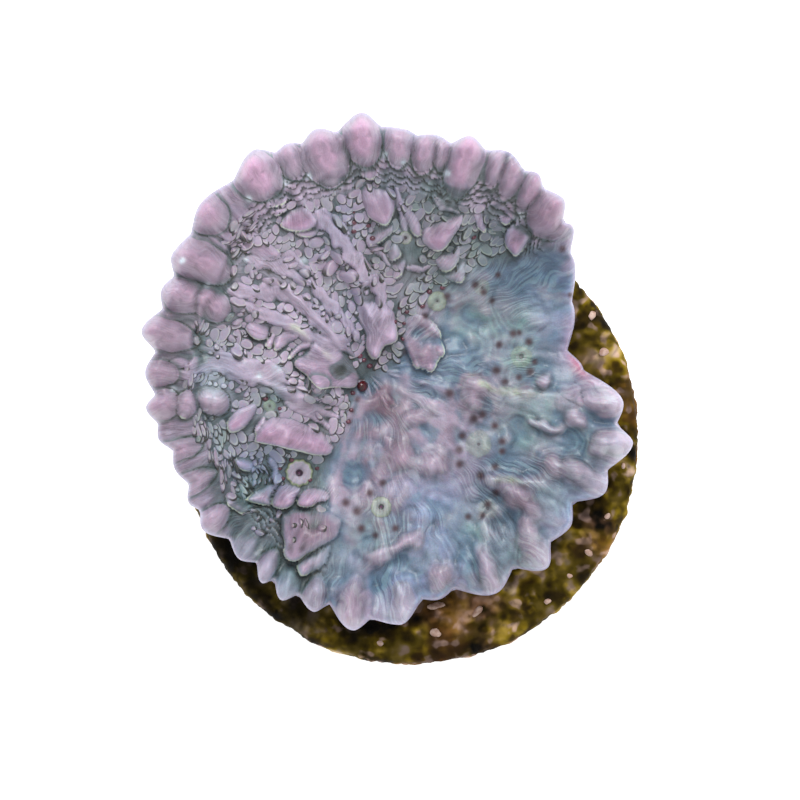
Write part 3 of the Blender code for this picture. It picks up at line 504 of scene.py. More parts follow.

# Scales placed one by one: east, north, half length, half width, bearing, height.
placedScales = [
    (-8.7, 4.2, 0.31, 0.2, 0, 0.3), (-8.3, 3.9, 0.49, 0.29, -5, 0.35),
    (-7.6, 3.4, 0.63, 0.25, -20, 0.3), (-7.1, 2.7, 0.63, 0.38, -35, 0.35),
    (-5.9, 2.7, 0.71, 0.43, -35, 0.4), (-6.5, 1.5, 0.49, 0.23, -35, 0.35),
    (-4.8, 2.2, 0.52, 0.32, -12, 0.35), (-15, 6.7, 0.36, 0.32, 80, 0.35),
    (-14.1, 6.6, 0.36, 0.32, 20, 0.35), (-13.6, 6.3, 0.3, 0.25, 90, 0.3),
    (-13, 6.2, 0.34, 0.21, 110, 0.3), (-12.2, 5.9, 0.55, 0.45, 120, 0.4),
    (-11.6, 5.9, 0.4, 0.16, 95, 0.3), (-12.5, 6.9, 0.4, 0.27, 120, 0.3),
    (-12.7, 8.4, 0.49, 0.27, 35, 0.35), (-11.9, 8.6, 0.27, 0.23, 0, 0.3),
    (-12.1, 8.1, 0.49, 0.25, 10, 0.35), (-14, 5.9, 0.23, 0.16, -20, 0.25),
    (-13.5, 5.6, 0.2, 0.18, 0, 0.25), (-13.1, 3.6, 0.3, 0.23, 20, 0.3),
    (-12.1, 3.3, 0.29, 0.23, 10, 0.3), (-11.6, 3.8, 0.27, 0.18, 80, 0.3),
    (-13.7, 3.7, 0.23, 0.21, 0, 0.25), (-14.1, 3.8, 0.23, 0.21, 60, 0.25),
    (-11.5, 3, 0.3, 0.2, 45, 0.25), (-15.1, 4.3, 0.29, 0.18, 45, 0.25),
    (-6.7, 13.6, 0.7, 0.46, 0, 0.45), (-6, 12.8, 0.76, 0.23, 35, 0.4),
    (-5.6, 11.9, 0.89, 0.49, 38, 0.55), (-7.5, 11.5, 0.5, 0.41, 0, 0.4),
    (-4.4, 11.3, 0.88, 0.55, 18, 0.65), (-3.3, 10.7, 0.45, 0.23, 70, 0.3),
    (-12.4, 14.7, 0.5, 0.34, 80, 0.35), (-11.7, 14.1, 0.5, 0.29, 85, 0.35),
    (-10.8, 14.4, 0.36, 0.3, 60, 0.25), (-10.2, 14.1, 0.3, 0.3, 0, 0.25),
    (-11.5, 15, 0.54, 0.3, 28, 0.35), (-11.3, 15.6, 0.67, 0.2, 28, 0.3),
    (-10, 11, 0.45, 0.27, -12, 0.35), (-8.9, 11.2, 0.25, 0.21, 0, 0.25),
    (-8.3, 10.6, 0.36, 0.3, 60, 0.3), (-8.9, 10.6, 0.34, 0.29, 70, 0.25),
    (-8.3, 12, 0.54, 0.23, 15, 0.3), (-8.6, 12.4, 0.54, 0.23, 10, 0.25),
    (-12.4, 11.6, 0.5, 0.27, 75, 0.3), (-11.1, 11.4, 0.46, 0.2, 105, 0.3),
    (-10.6, 11.2, 0.32, 0.23, 70, 0.25), (-12.3, 10.5, 0.36, 0.27, 60, 0.25),
    (-5.3, 7.7, 0.59, 0.54, 0, 0.6), (-4.5, 7.4, 0.43, 0.27, 100, 0.45),
    (-3.9, 7.1, 0.54, 0.32, 115, 0.45), (-4.2, 9.1, 0.59, 0.32, 100, 0.45),
    (-5.1, 8.5, 0.27, 0.21, 0, 0.3), (-4.9, 9.5, 0.54, 0.34, 100, 0.3),
    (-7.3, 9.8, 0.39, 0.3, 0, 0.35), (-6.7, 9.1, 0.36, 0.2, 20, 0.25), (-6.2, 8.6, 0.3, 0.2, 45, 0.25),
    (-5.9, 8.3, 0.34, 0.2, 60, 0.25), (-6, 10.5, 0.34, 0.3, 30, 0.35),
    (-7.4, 8.2, 0.23, 0.14, -20, 0.2), (-7, 7.7, 0.2, 0.14, 0, 0.2), (-6.5, 7.4, 0.18, 0.18, 0, 0.2),
    (-4.4, 6.5, 0.2, 0.16, 0, 0.2), (-10.9, 8.6, 0.3, 0.3, 0, 0.4), (-8.6, 9, 0.5, 0.36, 10, 0.35),
    (-7.9, 8.7, 0.21, 0.2, 0, 0.2), (-7.5, 8.2, 0.25, 0.14, 0, 0.2), (-7, 7.6, 0.2, 0.14, 0, 0.2),
    (-6.5, 7.4, 0.2, 0.18, 0, 0.2), (-5.6, 16.7, 0.29, 0.21, 60, 0.3),
    (-5.1, 15.9, 0.27, 0.27, 0, 0.25), (-4.7, 14.7, 0.49, 0.27, -55, 0.35),
    (-5.1, 15, 0.89, 0.27, -45, 0.3), (-5.4, 17, 0.27, 0.23, 60, 0.25),
    (-0.8, 15.9, 0.2, 0.16, 0, 0.3), (-0.7, 16.3, 0.2, 0.14, 0, 0.25), (0.8, 12.5, 0.36, 0.34, 0, 0.4),
    (-2.5, 12, 0.3, 0.27, 0, 0.35), (-2.6, 10.9, 0.41, 0.25, 80, 0.3),
    (-2.1, 11.2, 0.45, 0.23, 75, 0.3), (-2.1, 13.2, 0.36, 0.16, 20, 0.25),
    (-2.4, 13.1, 0.54, 0.14, 5, 0.25), (-10.9, -1.8, 0.3, 0.21, 80, 0.35),
    (-10.5, -2.3, 0.43, 0.13, 110, 0.3), (-10.8, -2.4, 0.39, 0.13, 115, 0.3),
    (-10.1, -2.4, 0.43, 0.13, 105, 0.3), (-11, -3.2, 0.3, 0.16, 70, 0.3),
    (-10.6, -3.1, 0.3, 0.14, 70, 0.3), (-10.2, -3.1, 0.3, 0.13, 80, 0.3),
    (-9.8, -3, 0.27, 0.14, 80, 0.3), (-10.5, -1.5, 0.27, 0.18, 60, 0.25),
    (-11.1, -1.4, 0.21, 0.2, 0, 0.25), (-10.6, -6.7, 0.41, 0.27, -5, 0.3),
    (-10.7, -5.7, 0.36, 0.23, 0, 0.25), (-9.7, -5.9, 0.36, 0.2, -10, 0.25),
    (-10.1, -6.4, 0.36, 0.14, -15, 0.2), (-11, -6.4, 0.23, 0.2, 0, 0.2),
    (-13.4, -1.4, 0.38, 0.25, 25, 0.3), (-13.2, -2.2, 0.41, 0.16, 115, 0.25),
    (-12.5, -3.3, 0.36, 0.25, 10, 0.3), (-12.2, -3.7, 0.32, 0.18, 0, 0.25),
    (-12.6, -4.2, 0.45, 0.36, 20, 0.3), (-8.2, -6.2, 0.23, 0.21, 0, 0.25),
    (-7.7, -6, 0.41, 0.16, 95, 0.25), (-7.3, -6.1, 0.54, 0.14, 110, 0.2),
    (-8.2, -7.2, 0.23, 0.23, 0, 0.25), (-6.2, -6.4, 0.38, 0.27, 20, 0.3),
    (-16.8, -1.2, 0.45, 0.36, 20, 0.2), (-14.9, -0.1, 0.3, 0.23, 70, 0.3),
    (-14.6, -0.2, 0.3, 0.16, 70, 0.3), (-14.1, 0.1, 0.25, 0.23, 0, 0.35),
    (-14.4, 1.4, 0.23, 0.2, 0, 0.3), (-13.9, 1.4, 0.23, 0.18, 0, 0.3), (-14.7, 1, 0.21, 0.18, 0, 0.3),
    (-13.7, 0.7, 0.23, 0.2, 0, 0.3), (-13.4, -1.4, 0.36, 0.25, 20, 0.3),
]


def distance(place, east, north):
    return np.hypot(*(place - (east, north)).T)


def unitAt(degrees):
    return np.array([math.cos(math.radians(degrees)), math.sin(math.radians(degrees))])


def unitsAt(degrees):
    return np.column_stack([np.cos(np.radians(degrees)), np.sin(np.radians(degrees))])


def turned(offset, bearing):
    # how far each offset reaches along a bearing, and to the left of it
    cos, sin = unitAt(bearing)
    return offset[:, 0] * cos + offset[:, 1] * sin, offset[:, 1] * cos - offset[:, 0] * sin


def flatPoints(place):
    # the same places as points at height 0, as the noise wants them
    return np.column_stack([place, np.zeros(len(place))])


def thinPlate(distanceSquared):
    return distanceSquared * np.log(np.maximum(distanceSquared, 1e-9))


def fitDish(posts):
    # a smooth sheet through every post: thin plate bending plus a tilted plane
    posts = np.array(posts)
    spot, height = posts[:, :2], posts[:, 2]
    apart = ((spot[:, None] - spot[None]) ** 2).sum(2)
    plane = np.column_stack([np.ones(len(spot)), spot])
    system = np.block([[thinPlate(apart), plane], [plane.T, np.zeros((3, 3))]])
    return spot, np.linalg.solve(system, np.append(height, np.zeros(3)))


def dishHeight(place):
    spot, weights = dish
    apart = ((place[:, None] - spot[None]) ** 2).sum(2)
    return thinPlate(apart) @ weights[:-3] + weights[-3] + place @ weights[-2:]


def rimReach(bearing):
    # the scalloped outline: eased from each tip to the next notch and back
    stops = np.array(rimStops + [(rimStops[0][0] + 360, rimStops[0][1])], float)
    turn = (bearing - stops[0, 0]) % 360 + stops[0, 0]
    index = np.clip(np.searchsorted(stops[:, 0], turn, "right") - 1, 0, len(stops) - 2)
    start, end = stops[index], stops[index + 1]
    share = (turn - start[:, 0]) / (end[:, 0] - start[:, 0])
    fromNotch = np.where(end[:, 1] > start[:, 1], share, 1 - share) * np.pi
    blend = 0.65 * np.sin(fromNotch / 2) + 0.35 * (0.5 - 0.5 * np.cos(fromNotch))
    low, high = np.minimum(start, end)[:, 1], np.maximum(start, end)[:, 1]
    return low + (high - low) * blend


def smoothReach(bearing, spread=9):
    # the outline with its teeth averaged away, for the rings inside the rim
    shifts = np.arange(-spread, spread + 1, 3)
    return np.mean([rimReach(bearing + shift) for shift in shifts], axis=0)


def mound(place, east, north, along, across, bearing, power):
    # 1 in the middle of an oval, falling to 0 outside it, steeper for a higher power
    offset = place - (east, north)
    forward, sideways = turned(offset, bearing)
    out = (forward / along) ** 2 + (sideways / across) ** 2
    return np.exp(-(out ** (power / 2))), offset


def ovalGap(offset, along, across, bearing):
    # distance from an oval's outline, roughly, negative inside it
    forward, sideways = turned(offset, bearing)
    forward, sideways = forward / along, sideways / across
    out = np.hypot(forward, sideways)
    return (out - 1) * min(along, across) * (1 + 0.5 * np.abs(forward) / np.maximum(out, 1e-6))


def outlineGap(place, corners):
    # distance from an outline, negative inside it
    corners = np.array(corners, float)
    best = np.full(len(place), 1e9)
    within = np.zeros(len(place), bool)
    for start, end in zip(corners, np.roll(corners, -1, 0)):
        side = end - start
        offset = place - start
        run = np.clip(offset @ side / (side @ side), 0, 1)
        best = np.minimum(best, np.hypot(*(offset - run[:, None] * side).T))
        if side[1] != 0:
            passes = (start[1] > place[:, 1]) != (end[1] > place[:, 1])
            within ^= passes & (place[:, 0] < start[0] + offset[:, 1] * side[0] / side[1])
    return np.where(within, -best, best)


def cutCorners(corners):
    # the outline with each corner cut off a quarter of the way along its sides
    after = np.roll(corners, -1, 0)
    cut = np.stack([0.75 * corners + 0.25 * after, 0.25 * corners + 0.75 * after], 1)
    return cut.reshape(-1, 2)


def lineFrame(place, line):
    # distance from a line, which side of it, the way travelled along it, and its length
    best = np.full(len(place), 1e9)
    side = np.zeros(len(place))
    travelled = np.zeros(len(place))
    line = np.array(line)
    parts = np.hypot(*np.diff(line, axis=0).T)
    before = np.concatenate([[0], np.cumsum(parts)])
    for start, end, length, done in zip(line, line[1:], parts, before):
        way = (end - start) / length
        offset = place - start
        run = np.clip(offset @ way, 0, length)
        away = np.hypot(*(offset - run[:, None] * way).T)
        nearer = away < best
        best = np.where(nearer, away, best)
        side = np.where(nearer, way[0] * offset[:, 1] - way[1] * offset[:, 0], side)
        travelled = np.where(nearer, done + run, travelled)
    return best, side, travelled, before[-1]


def flowFrame(place):
    # the flow's bearing round its centre as unit vectors and degrees, and the distance
    offset = place - colony["flowCentre"]
    bearing = np.degrees(np.arctan2(offset[:, 1], offset[:, 0]))
    return unitsAt(bearing), bearing, np.hypot(*offset.T)


def crispShare(place):
    # 1 where the scales are crisp, 0 on the soft right and lower right
    return ease(outlineGap(place, crispCorners), 0.7, -0.6)


def footShare(place):
    # 1 over the foot, 0 beyond its flare
    away = np.hypot(*((place - colony["footMiddle"]) / colony["footHalfSize"]).T)
    return 1 - ease(away, 1, 1 + colony["footFlare"])


def patchMask(place, patches):
    # the strongest of the patches that cover each place
    mask = np.zeros(len(place))
    for east, north, radius, strength in patches:
        patch = strength * np.exp(-((distance(place, east, north) / radius) ** 2))
        mask = np.maximum(mask, patch)
    return mask


def sumPatches(place, patches):
    total = np.zeros(len(place))
    for east, north, radius, change in patches:
        total += change * np.exp(-((distance(place, east, north) / radius) ** 2))
    return total


def polypOut(place, east, north, radius, sharpness):
    # share of the way out from a polyp's mouth to its lobed edge, and the distance
    offset = place - (east, north)
    away = np.hypot(*offset.T)
    lobes = 1 + sharpness * polypForm["lobeDepth"] * np.cos(
        np.arctan2(offset[:, 1], offset[:, 0]) * polypForm["lobes"] + east
    )
    return away / (radius * lobes), away


# What stands on the dish. A form holds, for every place: base and lift, two heights in
# mm; lean, a push to the side; outside and inside, the distances from the outlines that
# the skin draws; and masks for the colours. A mark keeps one raised shape's outline.

def keepHigher(form, near, rise):
    higher = rise > form["lift"][near]
    form["lift"][near] = np.where(higher, rise, form["lift"][near])
    return higher


def keepMost(form, name, near, values):
    form[name][near] = np.maximum(form[name][near], values)


crestForm = {"power": 1.6, "edgeWidth": 0.38}


def addCrests(form, place):
    for height, steep, gentle, lime, line in crests:
        best, side, travelled, length = lineFrame(place, line)
        width = np.where(side > 0, gentle, steep)
        fade = ease(travelled, -0.2, 1.2) * ease(travelled, length + 0.2, length - 1.0)
        inner = ease(travelled / length, 0.35, 0.6) * ease(travelled / length, 1.0, 0.85)
        form["base"] += height * fade * np.exp(-((best / width) ** crestForm["power"]))
        edge = lime * inner * np.exp(-((best / crestForm["edgeWidth"]) ** 2))
        form["lime"] = np.maximum(form["lime"], edge)


knobForm = {"wobble": 1.6, "power": 2.8, "grow": 1.12, "roundness": 0.62, "reach": 1.6}


def addKnobs(form, place, wobble, marks):
    spread = knobForm["grow"]
    for east, north, along, across, aim, height, pinkness in rimKnobs:
        moved = place + knobForm["wobble"] * wobble
        shape, offset = mound(moved, east, north, along, across, aim, knobForm["power"])
        near = np.flatnonzero(np.hypot(*offset.T) < knobForm["reach"] * along)
        reach = offset[near] @ unitAt(aim) / along
        gap = ovalGap(offset[near], along * spread, across * spread, aim)
        cap = np.clip(-gap / across, 0, 1) ** knobForm["roundness"]
        rise = height * np.maximum(cap, shape[near] * 0.9)
        keepHigher(form, near, rise)
        softer = pinkness * (0.4 + 0.6 * ease(-0.6 * east + 0.8 * north, -4.0, 6.0))
        keepMost(form, "pink", near, softer * np.clip(-1.1 * gap / across, 0, 1))
        keepMost(form, "knob", near, -gap)
        marks.append((near, gap, rise, height, ease(reach, 0.5, -0.6), False))


swellForm = {"wobble": 3, "power": 2.3, "rise": 1.6, "pink": 0.6}


def addSwells(form, place, wobble):
    for east, north, along, across, aim, height, pinkness in swells:
        moved = place + swellForm["wobble"] * wobble
        shape, offset = mound(moved, east, north, along, across, aim, swellForm["power"])
        form["base"] += swellForm["rise"] * height * shape
        near = np.flatnonzero(np.hypot(*offset.T) < knobForm["reach"] * along)
        keepMost(form, "knob", near, -ovalGap(offset[near], along, across, aim))
        form["pink"] = np.maximum(form["pink"], swellForm["pink"] * pinkness * shape)


ribbonForm = {"rise": 0.9, "width": 1.4, "unevenness": 0.9, "lump": 0.8, "pink": 0.4}


def addRibbons(form, place, wobble, marks):
    flat = flatPoints(place)
    for height, half, pinkness, line in ribbons:
        height, half = height * ribbonForm["rise"], half * ribbonForm["width"]
        line = np.array(line)
        near = np.flatnonzero(((place > line.min(0) - 1) & (place < line.max(0) + 1)).all(1))
        away, side, travelled, length = lineFrame((place + wobble)[near], line)
        slim = half * (0.35 + 0.65 * ease(travelled, length + 0.2, length - 1.8))
        uneven = 1 + ribbonForm["unevenness"] * grain(flat[near], ribbonForm["lump"], 2.0)
        gap = away - slim * uneven * (0.5 + 0.5 * ease(travelled, -0.2, 1.0))
        inner = np.clip(-gap / half, 0, 1)
        rise = height * np.sqrt(1 - (1 - inner) ** 2)
        keepHigher(form, near, rise)
        keepMost(form, "pink", near, ribbonForm["pink"] * pinkness * inner)
        marks.append((near, gap, rise, height, np.where(side < 0, 0.9, 0.3), False))


ledgeForm = {"grow": 1.08, "edge": 0.5, "lean": 0.1, "dome": 0.9, "slope": 0.8, "unevenness": 0.35}


def addLedges(form, place, wobble, marks):
    # each rises towards its free edge and is rounded over at the sides
    flat = flatPoints(place)
    for height, free, pinkness, corners in ledges:
        way = unitAt(free)
        corners = np.array(corners)
        middle = corners.mean(0)
        corners = cutCorners(middle + ledgeForm["grow"] * (corners - middle))
        low, high = corners.min(0) - 0.8, corners.max(0) + 0.8
        near = np.flatnonzero(((place > low) & (place < high)).all(1))
        if not len(near):
            continue
        gap = outlineGap((place + wobble)[near], corners)
        reach = (corners - corners.mean(0)) @ way
        tip = (place[near] - corners.mean(0)) @ way
        tip = np.clip((tip - reach.min()) / (reach.max() - reach.min()), 0, 1)
        edge = np.clip(-gap / ledgeForm["edge"], 0, 1)
        dome = 0.75 + 0.35 * np.clip(-gap / ledgeForm["dome"], 0, 1)
        rise = height * dome * np.sqrt(1 - (1 - edge) ** 2)
        rise *= 0.12 + 0.88 * tip ** ledgeForm["slope"]
        rise *= 1 + ledgeForm["unevenness"] * grain(flat[near], 0.9, 6.5)
        higher = keepHigher(form, near, rise)
        form["lean"][near[higher]] = way * ledgeForm["lean"]
        form["pink"][near] = np.where(higher, 0, form["pink"][near])
        plate = pinkness * edge * (0.25 + 0.75 * tip)
        form["plate"][near] = np.where(higher, plate, form["plate"][near])
        marks.append((near, gap, rise, height, tip, True))


def measureMarks(form, marks):
    # how far each place lies outside the nearest higher shape, and inside its own
    lift, outside, inside = form["lift"], form["outside"], form["inside"]
    for near, gap, rise, height, tip, rimmed in marks:
        above = (gap > 0) & (0.6 * height > lift[near])
        fade = gap + 0.32 * (1 - tip)
        outside[near] = np.where(above, np.minimum(outside[near], fade), outside[near])
        own = (gap <= 0) & (rise >= 0.98 * lift[near])
        inside[near] = np.where(own, gap - 0.4 * (1 - tip) if rimmed else -5.0, inside[near])
        outside[near] = np.where(own, 5.0, outside[near])


def pressPolyps(form, place):
    # a low disc with a dimple for each polyp; the soft ones fade into their surroundings
    for east, north, radius, _, sharpness in polyps:
        out, away = polypOut(place, east, north, radius, sharpness)
        spread = 0.4 * (1 - sharpness)
        disc = ease(out, 1.12 + spread, 0.9 - spread)
        mouth = np.exp(-((away / (radius * 0.32)) ** 2))
        rise = disc * radius * (0.3 + 0.7 * sharpness) * (0.24 - 0.32 * mouth)
        form["lift"] = form["lift"] * (1 - disc) + rise
        form["lean"][out < 1.1] = 0
        form["pink"] = form["pink"] * (1 - disc)
        form["outside"] = np.where(out < 1.1, 5.0, form["outside"])
        form["inside"] = np.where(out < 1.1, -5.0, form["inside"])


def topForm(place, fromEdge, tooth):
    count = len(place)
    flat = flatPoints(place)
    form = {name: np.zeros(count) for name in ("lift", "pink", "lime", "plate")}
    form["lean"] = np.zeros((count, 2))
    form["knob"], form["outside"] = np.full(count, -5.0), np.full(count, 5.0)
    form["inside"] = np.full(count, -5.0)
    # the band of knobs stands above the field inside it
    upperLeft = ease(place @ np.array([-0.6, 0.8]), -3.0, 5.0)
    inward = fromEdge + 0.5 * grain(flat, 1.4, 3.1)
    band = ease(inward, colony["bandWidth"] + 0.35, colony["bandWidth"] - 0.25)
    band *= ease(outlineGap(place, crispCorners), 1.0, -1.5)
    form["band"] = band * upperLeft
    form["base"] = colony["bandLift"] * band * upperLeft
    form["base"] += colony["toothLift"] * np.clip(tooth, -0.4, 0.8) * ease(fromEdge, 3.8, 0.6)
    wobble = np.column_stack([grain(flat, 0.9, 5.5), grain(flat, 0.9, 8.5)]) * 0.09
    marks = []
    addCrests(form, place)
    addKnobs(form, place, wobble, marks)
    addSwells(form, place, wobble)
    addRibbons(form, place, wobble, marks)
    addLedges(form, place, wobble, marks)
    measureMarks(form, marks)
    pressPolyps(form, place)
    return form


garlands = {
    "depth": 3.4,
    "halfDepth": 1.0,
    "step": 0.46,
    "rise": 0.22,
    "scallop": 0.3,
    "pitch": 1.45,
    "wander": 0.13,
    "lineWidth": 1.15,
}


def addGarlands(form, place, fromEdge, bearing):
    # rows of thin scalloped edges below the top knobs, which stand on nothing higher
    flat = flatPoints(place)
    along = np.radians(bearing) * rimReach(np.array([90.0])) + 0.6 * grain(flat, 2.0, 31.0)
    scallop = garlands["scallop"] * np.abs(np.sin(math.pi * along / garlands["pitch"]))
    drawn = fromEdge - scallop + garlands["wander"] * grain(flat, 0.9, 33.0)
    share = drawn / garlands["step"] % 1
    offCentre = np.abs(fromEdge - garlands["depth"])
    weight = ease(offCentre, garlands["halfDepth"] + 0.3, garlands["halfDepth"] - 0.3)
    weight *= crispShare(place) * ease(place[:, 0], -14, -10)
    beyond = np.where(weight > 0.4, garlands["lineWidth"] * share * garlands["step"], 5.0)
    clear = form["lift"] < 0.3
    form["base"] += garlands["rise"] * share * weight * clear
    form["outside"] = np.where(clear, np.minimum(form["outside"], beyond), form["outside"])


roughForms = {
    # depth, size and seed of each
    "lumps": ((0.16, 1.7, 0.0), (0.07, 0.7, 5.0)),
    "pads": 0.5,
    "wrinkle": 0.08,
    "crispWrinkle": 0.06,
    # how many wrinkles go round, and the distances from the middle that they run between
    "weaves": ((14, 2, 8), (30, 6, 14), (52, 11, 22)),
}


def roughForm(place, fromEdge, pink):
    # small irregularities, soft pads on the right, and wrinkles that follow the flow
    spin, _, away = flowFrame(place)
    flat = flatPoints(place)
    rough = sum(depth * grain(flat, size, seed) for depth, size, seed in roughForms["lumps"])
    radial = grain(np.column_stack([spin * 7, away * 0.45]), 1.0, 12.0)
    pads = np.maximum(grain(flat, 1.5, 7.0), 0.8 * radial) - 0.1
    rough += roughForms["pads"] * (1 - crispShare(place)) * pads * ease(fromEdge, 0.5, 2.5)
    wrinkle = np.zeros(len(place))
    for around, start, end in roughForms["weaves"]:
        part = ease(away, start, start + 2) * ease(away, end, end - 3)
        weave = grain(np.column_stack([spin * around * 0.62, away * 0.55]), 1.0, around)
        wrinkle += part * weave
    calm = np.clip(1 - 1.2 * pink, 0.15, 1)
    depth = roughForms["wrinkle"] + roughForms["crispWrinkle"] * crispShare(place)
    return rough, depth * wrinkle * calm


def coralRings():
    # how far out each ring lies, on which side, and how many points it has
    spacing, under = colony["spacing"], colony["underSpacing"]
    rounding = colony["edgeRounding"]
    flat = colony["ringReach"] - rounding
    rows = [(out, 1) for out in np.arange(0, flat, spacing)]
    turns = np.linspace(0, math.pi / 2, 13)
    rows += [(flat + rounding * math.sin(turn), 1) for turn in turns]
    turns = np.linspace(math.pi / 2, 0, 9)[1:]
    rows += [(flat + rounding * math.sin(turn), -1) for turn in turns]
    rows += [(out, -1) for out in np.arange(flat, 0, -under)[1:]]
    rows.append((0, -1))
    counts = []
    for index, (out, side) in enumerate(rows):
        step = spacing if side > 0 else min(spacing + 0.05 * (index - len(rows) * 0.6), under)
        counts.append(max(8, round(2 * math.pi * out / max(step, spacing))))
    counts[0] = counts[-1] = 1
    return rows, counts


def crowded(bearing):
    # draws the bearings together on the side with the crisp scales
    turn = np.radians(bearing - colony["crispBearing"])
    return (bearing - np.degrees(colony["crowdTurns"] * np.sin(turn))) % 360


def boxBlur(field, width):
    # the mean over a square of side 2 * width + 1, edges held
    for axis in (0, 1):
        margins = [(width + 1, width) if a == axis else (0, 0) for a in (0, 1)]
        summed = np.cumsum(np.pad(field, margins, "edge"), axis=axis)
        after = np.take(summed, np.arange(2 * width + 1, summed.shape[axis]), axis=axis)
        before = np.take(summed, np.arange(0, summed.shape[axis] - 2 * width - 1), axis=axis)
        field = (after - before) / (2 * width + 1)
    return field


heightGrid = {
    "size": 44.0,
    "cells": 440,
    "creaseWidth": 1,
    "reliefWidths": (4, 11),
}


def aboveSurroundings(spot, height, upward):
    # how far each point stands above the mean round it, over squares of three sizes
    size, cells = heightGrid["size"], heightGrid["cells"]
    corner = np.array(colony["axis"]) - size / 2
    exact = (spot - corner) / (size / cells)
    cell = np.clip(exact.astype(int), 0, cells - 1)
    total, number = np.zeros((cells, cells)), np.zeros((cells, cells))
    np.add.at(total, tuple(cell[upward].T), height[upward])
    np.add.at(number, tuple(cell[upward].T), 1)
    exact = np.clip(exact - 0.5, 0, cells - 1.001)
    first = exact.astype(int)
    share = exact - first
    found = []
    for width in (heightGrid["creaseWidth"], *heightGrid["reliefWidths"]):
        near, many = total, number
        for _ in range(3):
            near, many = boxBlur(near, width), boxBlur(many, width)
        around = near / np.maximum(many, 1e-6)
        mean = 0
        for right in (0, 1):
            for up in (0, 1):
                weight = np.abs(1 - right - share[:, 0]) * np.abs(1 - up - share[:, 1])
                mean = mean + weight * around[first[:, 0] + right, first[:, 1] + up]
        found.append(height - mean)
    return found


def polypMasks(place):
    polyp, sharp = np.full(len(place), 5.0), np.zeros(len(place))
    for east, north, radius, mouth, sharpness in polyps:
        out = polypOut(place, east, north, radius, sharpness)[0]
        tint = np.where(out < 0.5, out * 0.25 * radius / mouth, out)
        polyp = np.where(out < 1.5, np.minimum(polyp, tint), polyp)
        sharp = np.where(out < 1.8, sharpness, sharp)
    return polyp, sharp


def frostMask(place):
    frost = np.zeros(len(place))
    for east, north in frostSpots:
        away = distance(place, east, north)
        spot = 0.7 * np.exp(-((away / 0.2) ** 2)) + 0.35 * np.exp(-((away / 0.6) ** 2))
        frost = np.maximum(frost, spot)
    return np.clip(np.maximum(frost, patchMask(place, palePatches)), 0, 1)


def dotMask(place):
    # the tentacle bases of the soft side, which are only colour
    dots = np.zeros(len(place))
    for east, north, radius in tentacles:
        away = distance(place, east, north)
        dots = np.maximum(dots, np.exp(-((away / (radius * 1.2)) ** 3)))
    return dots * (1 - crispShare(place))


wineStreak = {"place": (11.9, 5.6), "size": (1.0, 2.2)}


def storeMasks(piece, place, fromEdge, upward, form):
    # the values that the skin's colours are worked out from, one of each to a point
    polyp, sharp = polypMasks(place)
    streak = np.hypot(*((place - wineStreak["place"]) / wineStreak["size"]).T)
    masks = {name: form[name] for name in (
        "knob", "plate", "bed", "crease", "outside", "inside", "pink", "lime", "relief", "band",
    )}
    masks.update(
        polyp=polyp, sharp=sharp, dots=dotMask(place), crisp=crispShare(place),
        dusk=patchMask(place, duskPatches), light=sumPatches(place, lightPatches),
        blue=patchMask(place, bluePatches), green=patchMask(place, greenPatches),
        frost=frostMask(place), wine=np.exp(-(streak**2)) * ease(fromEdge, 1.8, 0.2),
        rimGlow=ease(fromEdge, 0.35, 0.02),
        under=np.where(upward, 0, ease(fromEdge, 0.2, 1.0)),
    )
    for name, values in masks.items():
        storeFloats(piece, name, values)


def buildCoral():
    rows, counts = coralRings()
    out, side, bearing = [], [], []
    for (away, half), count in zip(rows, counts):
        out.append(np.full(count, away / colony["ringReach"]))
        side.append(np.full(count, half))
        bearing.append(crowded(np.arange(count) * 360 / count))
    _, faces = zipRings([np.zeros((count, 3)) for count in counts])
    out, side, bearing = map(np.concatenate, (out, side, bearing))
    upward = side > 0

    even, full = smoothReach(bearing), rimReach(bearing)
    reach = even + (full - even) * out**5
    place = np.array(colony["axis"]) + unitsAt(bearing) * (out * reach)[:, None]
    fromEdge = (1 - out) * reach
    upper = dishHeight(place)
    form = topForm(place, fromEdge, full - even)
    # bed: the low field between raised shapes, where the skin paints valley shade
    form["bed"] = ease(form["lift"], 0.14, 0.03) * ease(fromEdge, 3.8, 4.8)
    addGarlands(form, place, fromEdge, bearing)
    rough, wrinkle = roughForm(place, fromEdge, form["pink"])
    lift = form["lift"] + form["base"] + rough + wrinkle

    # the plate's rounded edge, its ribbed underside and its foot
    fullness = np.sqrt(1 - np.clip(1 - fromEdge / colony["edgeRounding"], 0, 1) ** 2)
    rim, plate = colony["rimThickness"], colony["plateThickness"]
    thickness = rim + (plate - rim) * np.clip(fromEdge / colony["thinMargin"], 0, 1)
    waist = upper + 0.5 * lift * (1 - fullness) - rim / 2
    top = waist + (upper + lift - waist) * fullness
    ribs = colony["ribHeight"] * np.cos(np.radians(bearing * colony["ribCount"]))
    ribs *= np.clip(out * 2 - 1, 0, 1)
    below = waist - (waist - upper + thickness + ribs + 0.2 * rough) * fullness
    below += (colony["footLevel"] - below) * footShare(place)
    height = np.where(upward, top, np.maximum(below, colony["footLevel"]))
    push = form["lean"] * (lift * ease(fromEdge, 0.3, 1.6))[:, None]
    spot = place + np.where(upward[:, None], push, 0)
    piece = meshFromArrays("coral_plate", np.column_stack([spot, height]), faces)

    crease, fine, broad = aboveSurroundings(spot, height, upward)
    rounded = ease(fromEdge, 0.05, 0.6)
    form["crease"] = np.where(upward, crease * rounded, 0)
    # relief: height above the surroundings, less the painted shade of the hollows; the skin paints
    # shade and light from it
    relief = 0.5 * fine + 0.5 * broad - sumPatches(place, hollows)
    form["relief"] = np.where(upward, relief * rounded, 0)
    storeMasks(piece, place, fromEdge, upward, form)
    return piece, faces


